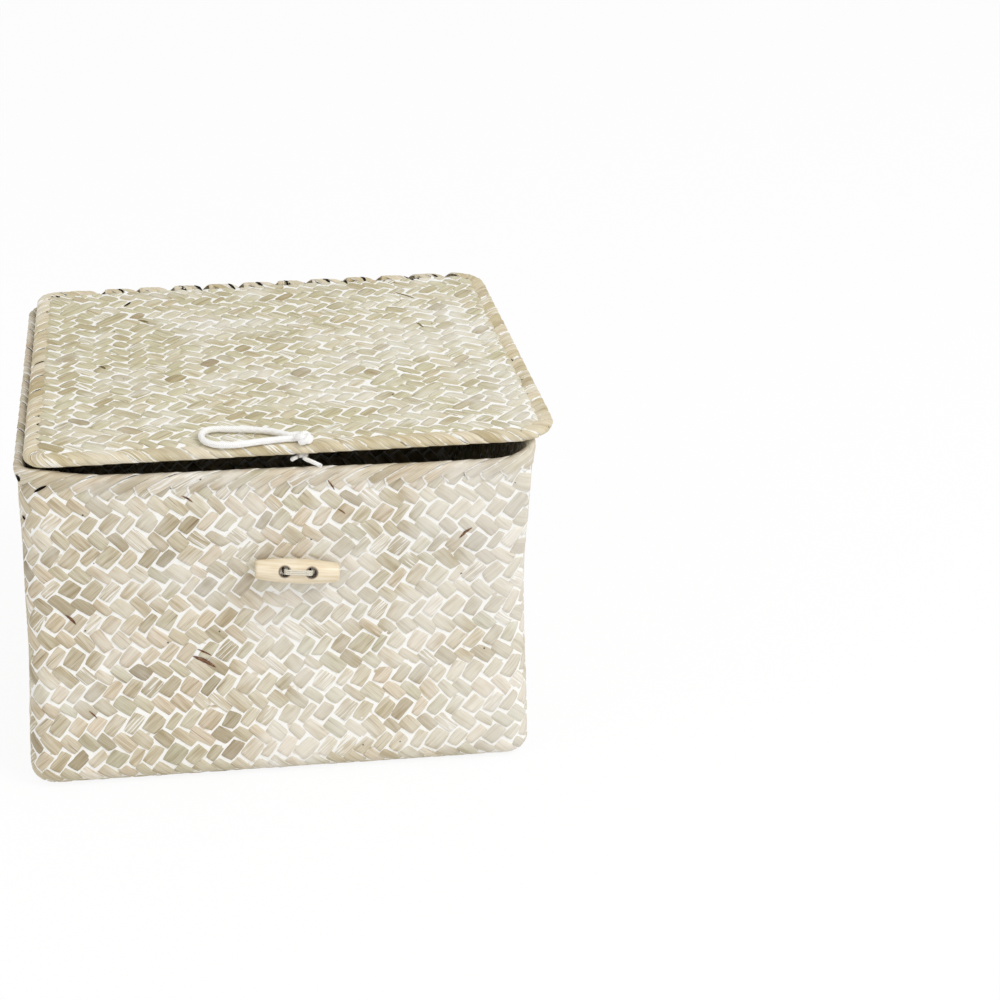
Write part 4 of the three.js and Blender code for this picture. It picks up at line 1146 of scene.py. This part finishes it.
# The rays for a point of a joint start round it, as one may fall between two strips, and where none hits
# a strip, one starts further left or else further right
RAY_PLACES = [[(0, 0), (-0.4, 0), (0.4, 0), (0, -0.4), (0, 0.4)], [(-2, 0)], [(2, 0)]]
RAY_START = 400


def make_shade_and_fibre_leaves(name, carriers, places, looking, material, body):
    """Slim leaves that lie on the carriers' strips, dropped on them along the way of looking: painted shade
    in open joints, and fibres.
    """
    down = looking == "down"
    way = Vector((0, 0, -1)) if down else Vector((0, 1, 0))
    trees = []
    for carrier in carriers:
        corners = [vertex.co for vertex in carrier.data.vertices]
        trees.append(BVHTree.FromPolygons(corners, [face.vertices for face in carrier.data.polygons]))

    def hits(first, second, ray_places):
        starts = [(first + beside, second + ahead) for beside, ahead in ray_places]
        starts = [Vector((x, y, RAY_START)) if down else Vector((x, -RAY_START, y)) for x, y in starts]
        found = [tree.ray_cast(start * MM, way)[3] for start in starts for tree in trees]
        return [distance / MM for distance in found if distance]

    def dropped(first, second):
        found = next(filter(None, (hits(first, second, ray_places) for ray_places in RAY_PLACES)))
        depth = RAY_START - min(found) + JOINT_LIFT
        return (first, second, depth) if down else (first, -depth, second)

    points, faces = [], []
    for start_1, start_2, end_1, end_2, width in places:
        offset = len(points)
        start, end = np.array((start_1, start_2)), np.array((end_1, end_2))
        ahead = (end - start) / np.linalg.norm(end - start)
        side = np.array((-ahead[1], ahead[0]))
        for step in range(JOINT_STEPS):
            share = step / (JOINT_STEPS - 1)
            bulge = math.sin(math.pi * share)
            half = width / 2 * (bulge ** 0.7 + 0.06)
            middle = start + (end - start) * share + side * 0.25 * width * bulge
            points += [dropped(*(middle + side * half * across)) for across in (-1, 0, 1)]
        faces.append(grid_faces(JOINT_STEPS, 3) + offset)
    points = np.array(points)
    faces = np.concatenate(faces)
    corners = points[faces[:, :3]]
    normals = np.cross(corners[:, 1] - corners[:, 0], corners[:, 2] - corners[:, 0])
    turned = normals @ np.array(way) > 0
    faces[turned] = faces[turned][:, ::-1]
    make_piece(name, points, faces, material, body)


# Toggle

def place_toggle(points):
    """Rolls and tilts points from the toggle's own frame, and moves them to its place on the wall."""
    turn = Matrix.Rotation(TOGGLE_TILT, 3, "Y") @ Matrix.Rotation(-TOGGLE_ROLL, 3, "X")
    low, high = (np.array(corner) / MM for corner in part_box("toggle_button"))
    return points @ np.array(turn).T + (low + high) / 2


def drilled_barrel():
    """The turned barrel with its two holes, in its own frame: points in millimetres, and faces."""
    half = TOGGLE_LENGTH / 2
    # Each end has a small flat middle, and a point that rounds its bevel
    flat_radius, bevel_step, bevel_drop = 0.3, 0.25, 0.3
    steps = np.linspace(-1, 1, 41)
    radii = TOGGLE_END_RADIUS + (TOGGLE_RADIUS - TOGGLE_END_RADIUS) * (1 - steps ** 2)
    places = steps * (half - TOGGLE_BEVEL)
    places = np.concatenate([[-half, -half, -half + bevel_step], places, [half - bevel_step, half, half]])
    ends = np.array([flat_radius, TOGGLE_END_RADIUS - TOGGLE_BEVEL, TOGGLE_END_RADIUS - bevel_drop])
    radii = np.concatenate([ends, radii, ends[::-1]])[:, None]
    sides = 64
    angle = np.linspace(0, 2 * np.pi, sides, endpoint=False)
    points = np.stack(np.broadcast_arrays(
        places[:, None], radii * np.cos(angle), radii * np.sin(angle)), axis=-1).reshape(-1, 3)
    faces = grid_faces(len(places), sides, closed=True).tolist()
    faces += [list(range(sides))[::-1], [(len(places) - 1) * sides + side for side in range(sides)]]
    barrel = bpy.data.meshes.new("toggle_barrel")
    barrel.from_pydata(points * MM, [], faces)
    holes = bpy.data.meshes.new("toggle_holes")
    build = bmesh.new()
    for side in (-1, 1):
        place = Matrix.Translation((side * TOGGLE_HOLE_SPACING / 2 * MM, 0, 0))
        bmesh.ops.create_cone(build, cap_ends=True, segments=40, radius1=TOGGLE_HOLE_RADIUS * MM,
                              radius2=TOGGLE_HOLE_RADIUS * MM, depth=3 * TOGGLE_RADIUS * MM,
                              matrix=place @ Matrix.Rotation(math.pi / 2, 4, "X"))
    build.to_mesh(holes)
    build.free()
    pieces = [bpy.data.objects.new(mesh.name, mesh) for mesh in (barrel, holes)]
    for piece in pieces:
        bpy.context.collection.objects.link(piece)
    cut = pieces[0].modifiers.new("holes", "BOOLEAN")
    cut.object = pieces[1]
    cut.solver = "EXACT"
    shaped = pieces[0].evaluated_get(bpy.context.evaluated_depsgraph_get())
    mesh = bpy.data.meshes.new_from_object(shaped)
    for piece in pieces:
        bpy.data.objects.remove(piece)
    points = np.empty(len(mesh.vertices) * 3, np.float32)
    mesh.vertices.foreach_get("co", points)
    return points.reshape(-1, 3) / MM, [list(face.vertices) for face in mesh.polygons]


def make_toggle(wood, thread):
    points, faces = drilled_barrel()
    toggle = make_piece("toggle_barrel_wood", place_toggle(points), faces, wood, "toggle",
                        "toggle_button", strip=points[:, [0, 2]])
    for face in toggle.data.polygons:
        face.use_smooth = len(face.vertices) < 12
    edges = toggle.modifiers.new("edges", "EDGE_SPLIT")
    edges.split_angle = math.radians(35)

    # The thread goes through both holes, and round the wall behind them
    front = -TOGGLE_RADIUS - SEAT_GAP - THREAD_DEPTH
    rear = TOGGLE_RADIUS + 2 * SEAT_GAP + STACK + THREAD_DEPTH
    outline = Outline(TOGGLE_HOLE_SPACING / 2, (rear - front) / 2, (THREAD_BEND,) * 4)
    spot, _ = outline.at(np.linspace(0, outline.length, 150, endpoint=False))
    parts = []
    for lane in THREAD_LANES:
        path = np.stack([spot[:, 0], spot[:, 1] + (front + rear) / 2, np.full(len(spot), lane)], axis=-1)
        parts.append(tube_mesh(place_toggle(path), THREAD_RADIUS, 10, twist, closed=True))
    make_tube("toggle_sewing_thread", parts, thread, "box", "toggle_thread")


# Floor, backdrop and light

def seen_white(tree):
    """1 for a ray from the camera or by way of a gloss or glass, which sees the background white."""
    rays = add_node(tree, "LightPath").outputs
    seen = rays["Is Camera Ray"]
    for kind in ("Is Glossy Ray", "Is Transmission Ray"):
        seen = add_node(tree, "Math", {0: seen, 1: rays[kind]}, operation="MAXIMUM")
    return seen


def make_stage():
    reach = 6
    mesh = bpy.data.meshes.new("studio_floor")
    corners = [(x * reach, y * reach, 0) for x, y in ((-1, -1), (1, -1), (1, 1), (-1, 1))]
    mesh.from_pydata(corners, [], [range(4)])
    floor = bpy.data.objects.new("studio_floor", mesh)
    bpy.context.collection.objects.link(floor)
    floor.location.z = -0.4 * MM

    # Matt white paper, most of it shown as bright as the background and the rest shaded
    material, tree, shader = new_material("white paper")
    set_inputs(tree, shader, {"Base Color": linear("#f7f7f7"), "Roughness": 0.9})
    glow = add_node(tree, "Emission", {"Color": (1, 1, 1, 1), "Strength": 1})
    share = add_node(tree, "Math", {0: seen_white(tree), 1: 0.9}, operation="MULTIPLY")
    blend = add_node(tree, "MixShader", {0: share, 1: shader, 2: glow})
    set_inputs(tree, tree.nodes["Material Output"], {"Surface": blend})
    mesh.materials.append(material)

    world = bpy.data.worlds.new("studio")
    bpy.context.scene.world = world
    world.use_nodes = True
    tree = world.node_tree
    strength = add_node(tree, "MapRange", {"Value": seen_white(tree), "To Min": 0.7, "To Max": 1})
    set_inputs(tree, tree.nodes["Background"], {"Color": (1, 1, 1, 1), "Strength": strength})

    for name, place, size, power in (("large softbox", (1.3, -1.2, 1.9), 1.3, 27),
                                     ("fill softbox", (-1.6, -0.9, 1.2), 1.4, 5)):
        data = bpy.data.lights.new(name, "AREA")
        data.shape = "DISK"
        data.size = size
        data.energy = power
        light = bpy.data.objects.new(name, data)
        light.location = place
        light.rotation_euler = (Vector((0, 0, 0.09)) - Vector(place)).to_track_quat("-Z", "Y").to_euler()
        bpy.context.collection.objects.link(light)
    bpy.context.scene.view_settings.view_transform = "Standard"


make_camera()
# Painted light: the walls' wash whiter to the right and towards the top, the lid's and rim's to the right
wall_grass = seagrass("whitewashed seagrass wall", WALL_TONES, wash=0.45, softness=0.7, painted_light_slope=(1.2, 0, 0.5))
lining_grass = seagrass("seagrass lining", WALL_TONES, wash=0.1, softness=0.6)
lid_grass = seagrass("whitewashed seagrass lid", LID_TONES, wash=0.5, softness=1, cover=0.75,
                     painted_light_slope=(0.35, 0, 0))
rim_grass = seagrass("folded seagrass rim", RIM_TONES, wash=0.5, softness=0.8, painted_light_slope=(0.35, 0, 0))
lid_fold_grass = seagrass("folded seagrass lid edge", LID_FOLD_TONES, wash=0.3, softness=0.8, cover=0.6)
cord_cotton = cotton("white braided cotton", "#e4e2dd", "#fbfaf8", 0.5, 0.12)
thread_cotton = cotton("waxed linen thread", "#c4bca9", "#ebe5d6", 0.35, 0.05)
toggle_beech = turned_wood("turned pale beech")
# Painted shade: near-black leaves that stand for the shadow in open joints
painted_joint_shade = dark_fibre_and_painted_shade("painted shade in an open joint", "#050403", "#17120b")
brown_fibre = dark_fibre_and_painted_shade("brown seagrass fibre", "#56392a", "#94755a")
loose_fibre = dark_fibre_and_painted_shade("weathered seagrass fibre", "#5a4a2c", "#8b7a50")

make_cords(cord_cotton)
outer_wall = make_walls(wall_grass, lining_grass)
make_floors(wall_grass, lining_grass)
lid_top = make_lid(lid_grass, lining_grass)
rim = make_rim(rim_grass)
lid_edge = make_lid_edge(lid_fold_grass)
make_straps(lid_fold_grass)
# Painted shade in the lid's rear joints and at the rim's left end, where the shadow between strips falls
make_shade_and_fibre_leaves("lid_rear_painted_shade", [lid_edge, lid_top], LID_PAINTED_SHADE_LEAVES, "down", painted_joint_shade, "lid")
make_shade_and_fibre_leaves("rim_painted_shade", [rim, outer_wall], RIM_PAINTED_SHADE_LEAVES, "rearward", painted_joint_shade, "box")
make_shade_and_fibre_leaves("wall_brown_fibres", [outer_wall, rim], WALL_BROWN_FIBRES, "rearward", brown_fibre, "box")
make_shade_and_fibre_leaves("lid_loose_fibres", [lid_top], LID_LOOSE_FIBRES, "down", loose_fibre, "lid")
make_toggle(toggle_beech, thread_cotton)
make_stage()
